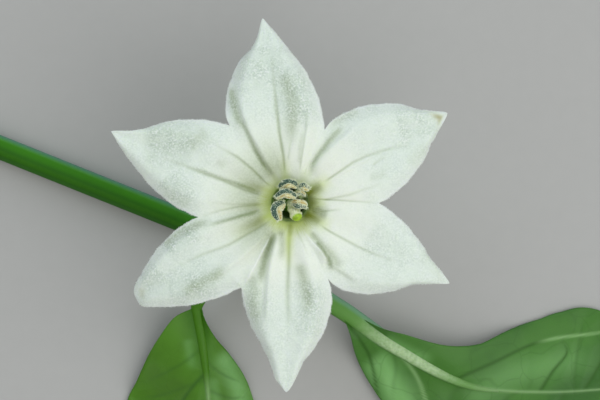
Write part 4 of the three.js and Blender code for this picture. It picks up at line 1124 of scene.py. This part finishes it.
def petal_tissue(settings):
    """White petal tissue, grown, with an upper skin of small domed cells: matt like velvet, with a
    fine mottle and painted highlights and shade on the cells, greener and duller in the veins, olive
    in painted shade and partly where the skin is thin, and yellow-green in the throat."""
    m = new_material("petal_tissue_papillate")
    place = add_node(m, "ShaderNodeTexCoord")["Object"]
    across, outwards, vein, shade, flush, rim, depth, tip, rough = (
        add_node(m, "ShaderNodeAttribute", attribute_name=name)["Fac"]
        for name in ("across", "outwards", "vein", "shade", "flush", "rim", "depth", "tip", "rough"))
    # Streaks run outwards, about 0.15 mm wide. The domed cells are 0.05 mm wide and stand in groups
    # of 0.15 to 0.25 mm, which is as fine as the picture shows, so the groups are drawn. Patches
    # about a millimetre wide make them uneven.
    along = add_node(m, "ShaderNodeCombineXYZ", {"X": across, "Y": outwards})["Vector"]
    rows = add_node(m, "ShaderNodeMapping", {"Vector": along, "Scale": (3.5, 0.8, 1)})["Vector"]
    strokes = add_node(m, "ShaderNodeTexNoise", {
        "Vector": rows, "Scale": 2.2, "Detail": 4, "Roughness": 0.7})["Fac"]
    groups = add_node(m, "ShaderNodeTexNoise", {
        "Vector": place, "Scale": 7 * PER_MM, "Detail": 2, "Roughness": 0.6})["Fac"]
    patch = add_node(m, "ShaderNodeTexNoise", {
        "Vector": place, "Scale": 0.9 * PER_MM, "Detail": 3, "Roughness": 0.6})["Fac"]
    uneven = add_node(m, "ShaderNodeMapRange", {
        "Value": patch, "From Min": 0.35, "From Max": 0.6, "To Min": 0.25})[0]
    proud = add_node(m, "ShaderNodeMath", {0: rough, 1: 0.85, 2: 0.15}, operation="MULTIPLY_ADD")[0]
    standing = add_node(m, "ShaderNodeMath", {0: proud, 1: uneven}, operation="MULTIPLY")[0]
    # Duller where the cells stand proud, with painted shade between them and a painted highlight on top of
    # them.
    duller_by = add_node(m, "ShaderNodeMath", {0: rough, 1: 0.55}, operation="MULTIPLY")[0]
    grain = add_node(m, "ShaderNodeMapRange", {
        "Value": groups, "From Min": 0.35, "From Max": 0.6, "To Min": 1, "To Max": 0})[0]
    painted_cell_shade_by = add_node(m, "ShaderNodeMath", {0: grain, 1: standing}, operation="MULTIPLY")[0]
    painted_cell_glint = add_node(m, "ShaderNodeMapRange", {"Value": groups, "From Min": 0.56, "From Max": 0.66})[0]
    painted_cell_glint_by = add_node(m, "ShaderNodeMath", {0: painted_cell_glint, 1: standing}, operation="MULTIPLY")[0]
    # The painted olive shade shows between the cells, and where the skin is smooth also over them.
    least = add_node(m, "ShaderNodeMath", {0: rough, 1: -0.55, 2: 0.9}, operation="MULTIPLY_ADD")[0]
    broken = add_node(m, "ShaderNodeMapRange", {
        "Value": groups, "From Min": 0.62, "From Max": 0.38, "To Min": least, "To Max": 1.1})[0]
    shaded = add_node(m, "ShaderNodeMath", {0: shade, 1: broken}, operation="MULTIPLY")[0]
    shaded_by = add_node(m, "ShaderNodeMath", {
        0: shaded, 1: 0.56}, operation="MULTIPLY", use_clamp=True)[0]
    veined_by = add_node(m, "ShaderNodeMath", {0: vein, 1: 0.55}, operation="MULTIPLY", use_clamp=True)[0]
    # The throat's yellow-green is a ring with a streaky edge, and runs outwards along lines. Painted
    # shade darkens it along the shade marks, and down in the tube it is green, partly its own green and
    # partly painted shade of the tube's inside.
    streak = add_node(m, "ShaderNodeMath", {0: strokes, 1: 2.0, 2: -1.0}, operation="MULTIPLY_ADD")[0]
    reach = add_node(m, "ShaderNodeMath", {0: outwards, 1: streak}, operation="ADD")[0]
    ring = add_node(m, "ShaderNodeMapRange", {
        "Value": reach, "From Min": 3.1, "From Max": 1.5}, interpolation_type="SMOOTHSTEP")[0]
    run = add_node(m, "ShaderNodeMath", {0: strokes, 1: 0.8, 2: 0.5}, operation="MULTIPLY_ADD")[0]
    runs = add_node(m, "ShaderNodeMath", {0: flush, 1: run}, operation="MULTIPLY")[0]
    throat = add_node(m, "ShaderNodeMath", {0: ring, 1: runs}, operation="MAXIMUM")[0]
    flushed_by = add_node(m, "ShaderNodeMath", {
        0: throat, 1: 0.88}, operation="MULTIPLY", use_clamp=True)[0]
    hollow = add_node(m, "ShaderNodeMix", {
        FACTOR: shade, FIRST: (*settings.throat_colour, 1), SECOND: linear("#75810e"),
    }, data_type="RGBA")[MIXED]
    gaps = add_node(m, "ShaderNodeMapRange", {
        "Value": patch, "From Min": 0.4, "From Max": 0.6, "To Min": 0.35})[0]
    deep_by = add_node(m, "ShaderNodeMath", {0: depth, 1: gaps}, operation="MULTIPLY")[0]
    # A painted highlight along the free edges and the pleats' crests.
    painted_rim_highlight_by = add_node(m, "ShaderNodeMath", {0: rim, 1: 0.5}, operation="MULTIPLY")[0]
    # The white is warmer near the throat. Each further layer is laid over the ones before it.
    near = add_node(m, "ShaderNodeMapRange", {
        "Value": outwards, "From Min": 9.0, "From Max": 4.0, "To Max": 0.6}, interpolation_type="SMOOTHSTEP")[0]
    coloured = add_node(m, "ShaderNodeMix", {
        FACTOR: near, FIRST: (*settings.petal_colour, 1), SECOND: linear("#f2f8e6"),
    }, data_type="RGBA")[MIXED]
    for share, layer in (
        (duller_by, linear("#cbd8cc")),
        (painted_cell_shade_by, linear("#b9c8bb")),
        (painted_cell_glint_by, linear("#f2f8f2")),
        (shaded_by, linear("#98a583")),
        (veined_by, linear("#93a077")),
        (flushed_by, hollow),
        (deep_by, linear("#4f8410")),
        (tip, linear("#a39c62")),
        (painted_rim_highlight_by, linear("#f4faf4")),
    ):
        coloured = add_node(m, "ShaderNodeMix", {
            FACTOR: share, FIRST: coloured, SECOND: layer}, data_type="RGBA")[MIXED]
    raised = add_node(m, "ShaderNodeMath", {0: strokes, 1: 0.3, 2: groups}, operation="MULTIPLY_ADD")[0]
    relief = add_node(m, "ShaderNodeMath", {0: raised, 1: standing}, operation="MULTIPLY")[0]
    bump = add_node(m, "ShaderNodeBump", {
        "Strength": 0.7, "Distance": 0.1 * MM, "Height": relief})["Normal"]
    shader = add_node(m, "ShaderNodeBsdfPrincipled", {
        "Base Color": coloured, "Roughness": 0.62, "Specular IOR Level": 0.35, "Normal": bump,
        "Sheen Weight": 0.15, "Sheen Roughness": 0.5, "Subsurface Weight": 0.35,
        "Subsurface Radius": (0.9, 1.0, 0.7), "Subsurface Scale": 0.6 * MM,
    })["BSDF"]
    add_node(m, "ShaderNodeOutputMaterial", {"Surface": shader})
    return m


def filament_tissue():
    """Filament tissue, grown: smooth, moist and half clear, pale green in clouds of 0.4 mm."""
    m = new_material("filament_tissue_smooth")
    place = add_node(m, "ShaderNodeTexCoord")["Object"]
    noise = add_node(m, "ShaderNodeTexNoise", {
        "Vector": place, "Scale": 2.5 * PER_MM, "Detail": 2})["Fac"]
    colour = add_node(m, "ShaderNodeMix", {
        FACTOR: noise, FIRST: linear("#a9c47a"), SECOND: linear("#dfe8c6")}, data_type="RGBA")[MIXED]
    shader = add_node(m, "ShaderNodeBsdfPrincipled", {
        "Base Color": colour, "Roughness": 0.4, "Subsurface Weight": 0.3,
        "Subsurface Radius": (0.5, 0.6, 0.3), "Subsurface Scale": 0.3 * MM,
    })["BSDF"]
    add_node(m, "ShaderNodeOutputMaterial", {"Surface": shader})
    return m


def anther_skin(settings):
    """Anther skin, grown and split open: dull slate green outside, cream and tan where it has burst,
    with pale pollen stuck along its seams. Its mottle is 0.1 mm fine, like its pollen, and the split
    wanders over 0.4 mm."""
    m = new_material("anther_skin_burst")
    place = add_node(m, "ShaderNodeTexCoord")["Object"]
    slate, seam, stripe = (
        add_node(m, "ShaderNodeAttribute", attribute_name=name)["Fac"]
        for name in ("slate", "seam", "stripe"))
    fine = add_node(m, "ShaderNodeTexNoise", {
        "Vector": place, "Scale": 9 * PER_MM, "Detail": 3, "Roughness": 0.7})["Fac"]
    broad = add_node(m, "ShaderNodeTexNoise", {
        "Vector": place, "Scale": 2.6 * PER_MM, "Detail": 2})["Fac"]
    striped = add_node(m, "ShaderNodeMath", {0: stripe, 1: 0.35, 2: broad}, operation="MULTIPLY_ADD")[0]
    tans = add_node(m, "ShaderNodeMapRange", {"Value": striped, "From Min": 0.55, "From Max": 0.85})[0]
    inner = add_node(m, "ShaderNodeMix", {
        FACTOR: tans, FIRST: linear("#dfddac"), SECOND: linear("#c0aa5e")}, data_type="RGBA")[MIXED]
    slates = add_node(m, "ShaderNodeMapRange", {"Value": fine, "From Min": 0.35, "From Max": 0.75})[0]
    outer = add_node(m, "ShaderNodeMix", {
        FACTOR: slates, FIRST: linear("#22382f"), SECOND: (*settings.slate_colour, 1),
    }, data_type="RGBA")[MIXED]
    specks = add_node(m, "ShaderNodeMapRange", {
        "Value": fine, "From Min": 0.56, "From Max": 0.66, "To Max": 0.75})[0]
    speckled = add_node(m, "ShaderNodeMix", {
        FACTOR: specks, FIRST: outer, SECOND: linear("#b4c0a6")}, data_type="RGBA")[MIXED]
    edge = add_node(m, "ShaderNodeMath", {0: broad, 1: 0.6, 2: slate}, operation="MULTIPLY_ADD")[0]
    split = add_node(m, "ShaderNodeMapRange", {"Value": edge, "From Min": 0.7, "From Max": 0.85})[0]
    body = add_node(m, "ShaderNodeMix", {
        FACTOR: split, FIRST: inner, SECOND: speckled}, data_type="RGBA")[MIXED]
    dusty = add_node(m, "ShaderNodeMapRange", {"Value": seam, "From Min": 0.2, "From Max": 0.65})[0]
    patchy = add_node(m, "ShaderNodeMapRange", {
        "Value": fine, "From Min": 0.35, "From Max": 0.55, "To Min": 0.2, "To Max": 0.95})[0]
    dusted_by = add_node(m, "ShaderNodeMath", {
        0: dusty, 1: patchy}, operation="MULTIPLY", use_clamp=True)[0]
    dusted = add_node(m, "ShaderNodeMix", {
        FACTOR: dusted_by, FIRST: body, SECOND: linear("#dce8cc")}, data_type="RGBA")[MIXED]
    bump = add_node(m, "ShaderNodeBump", {
        "Strength": 0.8, "Distance": 0.05 * MM, "Height": fine})["Normal"]
    shader = add_node(m, "ShaderNodeBsdfPrincipled", {
        "Base Color": dusted, "Roughness": 0.6, "Normal": bump})["BSDF"]
    add_node(m, "ShaderNodeOutputMaterial", {"Surface": shader})
    return m


def dry_pollen():
    """Pollen, dry and powdery: pale cream clumps that scatter light evenly, some greener than others
    over 0.2 mm."""
    m = new_material("pollen_dry")
    place = add_node(m, "ShaderNodeTexCoord")["Object"]
    noise = add_node(m, "ShaderNodeTexNoise", {"Vector": place, "Scale": 5 * PER_MM, "Detail": 1})["Fac"]
    colour = add_node(m, "ShaderNodeMix", {
        FACTOR: noise, FIRST: linear("#cfd8ae"), SECOND: linear("#ecf2de")}, data_type="RGBA")[MIXED]
    shader = add_node(m, "ShaderNodeBsdfPrincipled", {"Base Color": colour, "Roughness": 0.85})["BSDF"]
    add_node(m, "ShaderNodeOutputMaterial", {"Surface": shader})
    return m


def pistil_tissue(settings):
    """Pistil tissue, grown: a pale cream-green style, a moist yellow-green crown set with small
    domed cells about 0.07 mm apart, and a green ovary."""
    m = new_material("pistil_tissue_moist")
    place = add_node(m, "ShaderNodeTexCoord")["Object"]
    crown, ovary = (
        add_node(m, "ShaderNodeAttribute", attribute_name=name)["Fac"] for name in ("crown", "ovary"))
    domes = add_node(m, "ShaderNodeTexVoronoi", {"Vector": place, "Scale": 15 * PER_MM})["Distance"]
    noise = add_node(m, "ShaderNodeTexNoise", {"Vector": place, "Scale": 3 * PER_MM, "Detail": 2})["Fac"]
    style = add_node(m, "ShaderNodeMix", {
        FACTOR: noise, FIRST: linear("#d0dca0"), SECOND: linear("#eef2d2")}, data_type="RGBA")[MIXED]
    moist = add_node(m, "ShaderNodeMapRange", {"Value": noise, "From Min": 0.35, "From Max": 0.6})[0]
    top = add_node(m, "ShaderNodeMix", {
        FACTOR: moist, FIRST: linear("#7f9e12"), SECOND: (*settings.stigma_colour, 1),
    }, data_type="RGBA")[MIXED]
    green = add_node(m, "ShaderNodeMix", {
        FACTOR: ovary, FIRST: style, SECOND: linear("#5d8a2a")}, data_type="RGBA")[MIXED]
    colour = add_node(m, "ShaderNodeMix", {
        FACTOR: crown, FIRST: green, SECOND: top}, data_type="RGBA")[MIXED]
    bump = add_node(m, "ShaderNodeBump", {
        "Strength": 0.5, "Distance": 0.03 * MM, "Height": domes}, invert=True)["Normal"]
    shader = add_node(m, "ShaderNodeBsdfPrincipled", {
        "Base Color": colour, "Roughness": 0.38, "Normal": bump, "Subsurface Weight": 0.2,
        "Subsurface Radius": (0.5, 0.6, 0.2), "Subsurface Scale": 0.3 * MM,
    })["BSDF"]
    add_node(m, "ShaderNodeOutputMaterial", {"Surface": shader})
    return m


def stalk_skin(name, darker_tone, lighter_tone, ridge_tone):
    """Young stem skin, grown: smooth and satin, mottled over 3 mm and finely over 0.25 mm, and paler
    along the ridges. A bluish painted sheen lies along one side of the stem, and painted shade darkens
    the other. The cut end shows pale wet pith inside a green ring."""
    m = new_material(name)
    place = add_node(m, "ShaderNodeTexCoord")["Object"]
    ridge, under, bloom, pith, cut = (
        add_node(m, "ShaderNodeAttribute", attribute_name=attribute)["Fac"]
        for attribute in ("ridge", "under", "bloom", "pith", "cut"))
    fine = add_node(m, "ShaderNodeTexNoise", {
        "Vector": place, "Scale": 4 * PER_MM, "Detail": 4, "Roughness": 0.65})["Fac"]
    broad = add_node(m, "ShaderNodeTexNoise", {
        "Vector": place, "Scale": 0.35 * PER_MM, "Detail": 3})["Fac"]
    paler_by = add_node(m, "ShaderNodeMath", {0: ridge, 1: fine}, operation="MULTIPLY")[0]
    # Painted shade on the underside, and a bluish painted sheen on one side.
    darker_by = add_node(m, "ShaderNodeMath", {0: under, 1: 0.6}, operation="MULTIPLY")[0]
    painted_sheen_by = add_node(m, "ShaderNodeMath", {0: bloom, 1: 0.65}, operation="MULTIPLY")[0]
    core = add_node(m, "ShaderNodeMix", {
        FACTOR: pith, FIRST: linear("#7fa14c"), SECOND: linear("#dfe6c2")}, data_type="RGBA")[MIXED]
    coloured = add_node(m, "ShaderNodeMix", {
        FACTOR: broad, FIRST: linear(darker_tone), SECOND: linear(lighter_tone)}, data_type="RGBA")[MIXED]
    for share, layer in (
        (paler_by, linear(ridge_tone)),
        (darker_by, linear("#194e00")),
        (painted_sheen_by, linear("#5b8f84")),
        (cut, core),
    ):
        coloured = add_node(m, "ShaderNodeMix", {
            FACTOR: share, FIRST: coloured, SECOND: layer}, data_type="RGBA")[MIXED]
    bump = add_node(m, "ShaderNodeBump", {
        "Strength": 0.3, "Distance": 0.03 * MM, "Height": fine})["Normal"]
    shader = add_node(m, "ShaderNodeBsdfPrincipled", {
        "Base Color": coloured, "Roughness": 0.5, "Specular IOR Level": 0.2, "Normal": bump,
        "Subsurface Weight": 0.1, "Subsurface Radius": (0.3, 0.6, 0.1), "Subsurface Scale": 0.4 * MM,
    })["BSDF"]
    add_node(m, "ShaderNodeOutputMaterial", {"Surface": shader})
    return m


def leaf_skin(settings):
    """Leaf blade, grown, with a waxy skin: satin green, paler main veins, and a net of fine dark
    veins with meshes about 3 mm wide. One leaf takes a copy of these colours in painted shade."""
    m = new_material("leaf_blade_waxy")
    place = add_node(m, "ShaderNodeTexCoord")["Object"]
    vein, dark_vein, glint, midrib, near_stalk, stalk, streak, top, bloom, shaded = (
        add_node(m, "ShaderNodeAttribute", attribute_name=name)["Fac"]
        for name in ("vein", "dark_vein", "glint", "midrib", "near_stalk", "stalk", "streak", "top", "bloom",
                     "shaded"))
    # The fine grain is 0.3 mm wide and the tone changes over 6 mm. The net's lines wander by up to
    # 1.6 mm, over 2.5 mm.
    fine = add_node(m, "ShaderNodeTexNoise", {
        "Vector": place, "Scale": 3.5 * PER_MM, "Detail": 4, "Roughness": 0.6})["Fac"]
    broad = add_node(m, "ShaderNodeTexNoise", {
        "Vector": place, "Scale": 0.18 * PER_MM, "Detail": 3})["Fac"]
    bent = add_node(m, "ShaderNodeTexNoise", {
        "Vector": place, "Scale": 0.4 * PER_MM, "Detail": 2})["Color"]
    wander = add_node(m, "ShaderNodeVectorMath", {0: bent, "Scale": 1.6 * MM}, operation="SCALE")[0]
    moved = add_node(m, "ShaderNodeVectorMath", {0: place, 1: wander}, operation="ADD")[0]
    net = add_node(m, "ShaderNodeTexVoronoi", {
        "Vector": moved, "Scale": 0.33 * PER_MM}, feature="DISTANCE_TO_EDGE")["Distance"]
    netted = add_node(m, "ShaderNodeMapRange", {"Value": net, "From Min": 0.03, "From Max": 0.0})[0]
    # The blade, in sun and in shade, and the layers over it.
    spread = add_node(m, "ShaderNodeMapRange", {"Value": broad, "From Min": 0.38, "From Max": 0.62})[0]
    sunny = add_node(m, "ShaderNodeMix", {
        FACTOR: spread, FIRST: (*settings.leaf_colour, 1), SECOND: linear("#467a2c"),
    }, data_type="RGBA")[MIXED]
    blade_in_painted_shade = add_node(m, "ShaderNodeMix", {
        FACTOR: spread, FIRST: linear("#406f0c"), SECOND: linear("#50861c")}, data_type="RGBA")[MIXED]
    blade = add_node(m, "ShaderNodeMix", {
        FACTOR: shaded, FIRST: sunny, SECOND: blade_in_painted_shade}, data_type="RGBA")[MIXED]
    # Glints are painted highlights on the blade.
    painted_leaf_glint_by = add_node(m, "ShaderNodeMath", {0: glint, 1: 0.85}, operation="MULTIPLY")[0]
    clear = add_node(m, "ShaderNodeMath", {0: shaded, 1: -0.15, 2: 0.2}, operation="MULTIPLY_ADD")[0]
    lined_by = add_node(m, "ShaderNodeMath", {0: netted, 1: clear}, operation="MULTIPLY")[0]
    darker_by = add_node(m, "ShaderNodeMath", {0: dark_vein, 1: 0.85}, operation="MULTIPLY")[0]
    paler_by = add_node(m, "ShaderNodeMath", {0: vein, 1: 0.75}, operation="MULTIPLY")[0]
    ribbed_by = add_node(m, "ShaderNodeMath", {0: midrib, 1: 0.6}, operation="MULTIPLY")[0]
    for share, layer in (
        (painted_leaf_glint_by, "#7cb368"), (lined_by, "#2d5a14"), (darker_by, "#2c5c10"), (paler_by, "#8fbb78"),
        (near_stalk, "#356d04"), (ribbed_by, "#96bd80"),
    ):
        blade = add_node(m, "ShaderNodeMix", {
            FACTOR: share, FIRST: blade, SECOND: linear(layer)}, data_type="RGBA")[MIXED]
    # The stalk. On the leaf without painted shade it is lighter on top than below, which is painted light
    # and shade, it is streaked with pale fibres, and it carries a bluish painted sheen.
    upper = add_node(m, "ShaderNodeMix", {
        FACTOR: top, FIRST: linear("#2f6c06"), SECOND: linear("#5f9440")}, data_type="RGBA")[MIXED]
    plain = add_node(m, "ShaderNodeMix", {
        FACTOR: shaded, FIRST: upper, SECOND: linear("#447a0a")}, data_type="RGBA")[MIXED]
    fibres = add_node(m, "ShaderNodeMapRange", {
        "Value": fine, "From Min": 0.3, "From Max": 0.6, "To Min": 0.55})[0]
    streaked_by = add_node(m, "ShaderNodeMath", {0: streak, 1: fibres}, operation="MULTIPLY")[0]
    painted_sheen_by = add_node(m, "ShaderNodeMath", {0: bloom, 1: 0.7}, operation="MULTIPLY")[0]
    rod = plain
    for share, layer in ((streaked_by, linear("#b6d2a2")), (painted_sheen_by, linear("#78a68c")), (shaded, plain)):
        rod = add_node(m, "ShaderNodeMix", {
            FACTOR: share, FIRST: rod, SECOND: layer}, data_type="RGBA")[MIXED]
    coloured = add_node(m, "ShaderNodeMix", {
        FACTOR: stalk, FIRST: blade, SECOND: rod}, data_type="RGBA")[MIXED]
    relief = add_node(m, "ShaderNodeMath", {0: netted, 1: -0.5, 2: fine}, operation="MULTIPLY_ADD")[0]
    bump = add_node(m, "ShaderNodeBump", {
        "Strength": 0.3, "Distance": 0.04 * MM, "Height": relief})["Normal"]
    shader = add_node(m, "ShaderNodeBsdfPrincipled", {
        "Base Color": coloured, "Roughness": 0.5, "Specular IOR Level": 0.3, "Normal": bump,
        "Subsurface Weight": 0.1, "Subsurface Radius": (0.3, 0.6, 0.1), "Subsurface Scale": 0.4 * MM,
    })["BSDF"]
    add_node(m, "ShaderNodeOutputMaterial", {"Surface": shader})
    return m


def clear_hair():
    """Plant hair, grown: clear and glossy, so it reads as a bright fringe."""
    m = new_material("plant_hair_clear")
    place = add_node(m, "ShaderNodeTexCoord")["Object"]
    noise = add_node(m, "ShaderNodeTexNoise", {"Vector": place, "Scale": 1.5 * PER_MM})["Fac"]
    colour = add_node(m, "ShaderNodeMix", {
        FACTOR: noise, FIRST: linear("#dde8dd"), SECOND: linear("#f8fbf8")}, data_type="RGBA")[MIXED]
    shader = add_node(m, "ShaderNodeBsdfPrincipled", {"Base Color": colour, "Roughness": 0.35})["BSDF"]
    add_node(m, "ShaderNodeOutputMaterial", {"Surface": shader})
    return m


def backdrop_paper(settings):
    """Matt backdrop paper, pressed: an even pale grey with a faint grain about a millimetre wide."""
    m = new_material("backdrop_paper_matt")
    place = add_node(m, "ShaderNodeTexCoord")["Object"]
    noise = add_node(m, "ShaderNodeTexNoise", {
        "Vector": place, "Scale": 0.9 * PER_MM, "Detail": 3})["Fac"]
    shade = add_node(m, "ShaderNodeMapRange", {"Value": noise, "To Min": 0.96, "To Max": 1.0})[0]
    colour = add_node(m, "ShaderNodeVectorMath", {
        0: settings.floor_colour, "Scale": shade}, operation="SCALE")[0]
    shader = add_node(m, "ShaderNodeBsdfPrincipled", {
        "Base Color": colour, "Roughness": 0.9, "Specular IOR Level": 0.1})["BSDF"]
    add_node(m, "ShaderNodeOutputMaterial", {"Surface": shader})
    return m


# Settings

# What all settings of a colour have in common.
COLOUR = {"subtype": "COLOR", "size": 3, "min": 0, "max": 1}


class FlowerSettings(bpy.types.PropertyGroup):
    petal_thickness: FloatProperty(
        name="Lobe thickness", description="Thickness of the corolla's wall", default=0.28 * MM,
        min=0.1 * MM, max=0.6 * MM, precision=5, unit="LENGTH")
    petal_colour: FloatVectorProperty(
        name="Lobe colour", description="Colour of the white tissue",
        default=linear("#e4f0e4")[:3], **COLOUR)
    throat_colour: FloatVectorProperty(
        name="Throat colour", description="Colour of the corolla's throat",
        default=linear("#c8d874")[:3], **COLOUR)
    slate_colour: FloatVectorProperty(
        name="Anther colour", description="Colour of the anthers' outer side",
        default=linear("#4c7b66")[:3], **COLOUR)
    stigma_colour: FloatVectorProperty(
        name="Stigma colour", description="Colour of the stigma's crown",
        default=linear("#a2c81c")[:3], **COLOUR)
    pollen_radius: FloatProperty(
        name="Grain radius", description="Radius of a clump of pollen", default=0.024 * MM,
        min=0.01 * MM, max=0.08 * MM, precision=5, unit="LENGTH")
    pollen_count: IntProperty(
        name="Pollen", description="Number of clumps on each anther", default=760, min=20, max=1000)
    rim_hair_length: FloatProperty(
        name="Rim hair length", description="Length of the hairs along the lobes' edges",
        default=0.1 * MM, min=0.02 * MM, max=0.3 * MM, precision=5, unit="LENGTH")
    rim_hair_count: IntProperty(
        name="Rim hairs", description="Number of hairs along each edge of a lobe", default=260,
        min=0, max=2000)


class GreenSettings(bpy.types.PropertyGroup):
    leaf_thickness: FloatProperty(
        name="Blade thickness", description="Thickness of a leaf's blade", default=0.3 * MM,
        min=0.1 * MM, max=0.5 * MM, precision=5, unit="LENGTH")
    leaf_colour: FloatVectorProperty(
        name="Leaf colour", description="Colour of the blades",
        default=linear("#386826")[:3], **COLOUR)


class StageSettings(bpy.types.PropertyGroup):
    floor_colour: FloatVectorProperty(
        name="Floor colour", description="Colour of the floor",
        default=linear("#b4b4b1")[:3], **COLOUR)
    key_power: FloatProperty(
        name="Key light", description="Power of the soft light from the right", default=0.7,
        min=0, unit="POWER")
    fill_power: FloatProperty(
        name="Fill light", description="Power of the bluish light from behind", default=0.36,
        min=0, unit="POWER")
    room_light: FloatProperty(
        name="Room light", description="Strength of the even light from all round", default=0.48,
        min=0, subtype="FACTOR")
    view_width: FloatProperty(
        name="View width", description="Width of the camera's view at the lobes", default=45.9 * MM,
        min=10 * MM, precision=4, unit="LENGTH")


# Operators


class FLOWER_OT_corolla(bpy.types.Operator):
    """Makes the six lobes with their tube and pleats, and the filaments inside the tube"""

    bl_idname = "flower.corolla"
    bl_label = "Corolla"

    def execute(self, context):
        settings = context.scene.flower
        thick = settings.petal_thickness / MM
        limb = facing_out(welded(joined([lobe_part(number, thick) for number in range(len(LOBES))])))
        add_piece("corolla_lobes", limb, petal_tissue(settings), ["corolla"])
        rods = joined([filament_part(number) for number in range(len(ANTHERS))])
        add_piece("filaments", rods, filament_tissue(), ["corolla"])
        return {"FINISHED"}


class FLOWER_OT_stamens(bpy.types.Operator):
    """Makes the six anthers and the pollen on them"""

    bl_idname = "flower.stamens"
    bl_label = "Anthers and pollen"

    def execute(self, context):
        settings = context.scene.flower
        skin = anther_skin(settings)
        nodes = [f"anther_{number + 1}" for number in range(len(ANTHERS))]
        for number, node in enumerate(nodes):
            add_piece(f"{node}_body", anther_part(number), skin, [node])
        add_piece("pollen", pollen_part(settings), dry_pollen(), nodes)
        return {"FINISHED"}


class FLOWER_OT_pistil(bpy.types.Operator):
    """Makes the ovary, style and stigma"""

    bl_idname = "flower.pistil"
    bl_label = "Pistil"

    def execute(self, context):
        add_piece("pistil_body", pistil_part(), pistil_tissue(context.scene.flower), ["pistil"])
        return {"FINISHED"}


class FLOWER_OT_stalks(bpy.types.Operator):
    """Makes the calyx, the flower's stalk and the cut stem"""

    bl_idname = "flower.stalks"
    bl_label = "Calyx and stalks"

    def execute(self, context):
        cup = stalk_skin("calyx_skin_satin", "#47752a", "#5d8a3a", "#86aa5e")
        young = stalk_skin("pedicel_skin_satin", "#47782a", "#5b8b38", "#8aae63")
        older = stalk_skin("stem_skin_painted_sheen", "#2c7000", "#388400", "#4c9410")
        add_piece("calyx_cup", calyx_part(), cup, ["calyx"])
        add_piece("flower_stalk", pedicel_part(), young, ["pedicel"])
        add_piece("cut_stem", stem_part(), older, ["stem"])
        return {"FINISHED"}


class FLOWER_OT_leaves(bpy.types.Operator):
    """Makes the two leaves with their stalks and veins"""

    bl_idname = "flower.leaves"
    bl_label = "Leaves"

    def execute(self, context):
        settings = context.scene.flower_green
        skin = leaf_skin(settings)
        for name in LEAVES:
            add_piece(f"{name}_blade", leaf_part(name, settings), skin, [name])
        return {"FINISHED"}


class FLOWER_OT_hairs(bpy.types.Operator):
    """Makes the short hairs along the lobes' edges"""

    bl_idname = "flower.hairs"
    bl_label = "Hairs"

    def execute(self, context):
        add_piece("rim_hairs", rim_hair_part(context.scene.flower), clear_hair(), ["corolla"])
        return {"FINISHED"}


class FLOWER_OT_stage(bpy.types.Operator):
    """Makes the floor, the lights and the camera, which looks straight down on the flower"""

    bl_idname = "flower.stage"
    bl_label = "Stage"

    def execute(self, context):
        scene = context.scene
        settings = scene.flower_stage
        mesh = bpy.data.meshes.new("floor")
        half = 0.6
        corners = [(-half, -half, 0), (half, -half, 0), (half, half, 0), (-half, half, 0)]
        mesh.from_pydata(corners, [], [(0, 1, 2, 3)])
        mesh.materials.append(backdrop_paper(settings))
        floor = bpy.data.objects.new("floor", mesh)
        scene.collection.objects.link(floor)
        world = bpy.data.worlds.new("studio")
        world.use_nodes = True
        room = world.node_tree.nodes["Background"].inputs
        room["Color"].default_value = (1, 1, 1, 1)
        room["Strength"].default_value = settings.room_light
        scene.world = world
        for name, power, place, width, colour in (
            ("key_light", settings.key_power, (0.18, -0.09, 0.3), 0.4, (1, 1, 1)),
            ("fill_light", settings.fill_power, (-0.10, 0.25, 0.2), 0.3, (0.78, 0.9, 1)),
        ):
            lamp = bpy.data.lights.new(name, "AREA")
            lamp.energy = power
            lamp.size = width
            lamp.color = colour
            light = bpy.data.objects.new(name, lamp)
            light.location = (AXIS.x + place[0], AXIS.y + place[1], place[2])
            aim = light.location - AXIS
            light.rotation_euler = aim.to_track_quat("Z", "Y").to_euler()
            scene.collection.objects.link(light)
        # The lobes lie at lobes_z, and the picture's middle is a little off the flower's axis.
        away, lobes_z, off_x, off_y = 400.0, 15.2, 0.77, 0.23
        lens = bpy.data.cameras.new("camera")
        lens.sensor_width = 36
        lens.lens = lens.sensor_width * away * MM / settings.view_width
        lens.clip_start = 0.01
        camera = bpy.data.objects.new("camera", lens)
        camera.location = (AXIS.x + off_x * MM, AXIS.y + off_y * MM, (lobes_z + away) * MM)
        scene.collection.objects.link(camera)
        scene.camera = camera
        scene.view_settings.view_transform = "Standard"
        return {"FINISHED"}


class FLOWER_PT_panel(bpy.types.Panel):
    bl_label = "Chili pepper flower"
    bl_idname = "FLOWER_PT_panel"
    bl_space_type = "VIEW_3D"
    bl_region_type = "UI"
    bl_category = "Flower"

    def draw(self, context):
        for group in (context.scene.flower, context.scene.flower_green, context.scene.flower_stage):
            for name in group.__annotations__:
                self.layout.prop(group, name)
        for operator in OPERATORS:
            self.layout.operator(operator.bl_idname)


OPERATORS = (
    FLOWER_OT_corolla, FLOWER_OT_stamens, FLOWER_OT_pistil, FLOWER_OT_stalks, FLOWER_OT_leaves,
    FLOWER_OT_hairs, FLOWER_OT_stage,
)
GROUPS = {"flower": FlowerSettings, "flower_green": GreenSettings, "flower_stage": StageSettings}
CLASSES = (*GROUPS.values(), *OPERATORS, FLOWER_PT_panel)


def register():
    for each in CLASSES:
        bpy.utils.register_class(each)
    for name, group in GROUPS.items():
        setattr(bpy.types.Scene, name, PointerProperty(type=group))


def unregister():
    for name in GROUPS:
        delattr(bpy.types.Scene, name)
    for each in reversed(CLASSES):
        bpy.utils.unregister_class(each)


def main():
    register()
    bpy.ops.flower.corolla()
    bpy.ops.flower.stamens()
    bpy.ops.flower.pistil()
    bpy.ops.flower.stalks()
    bpy.ops.flower.leaves()
    bpy.ops.flower.hairs()
    bpy.ops.flower.stage()


if __name__ == "__main__":
    main()
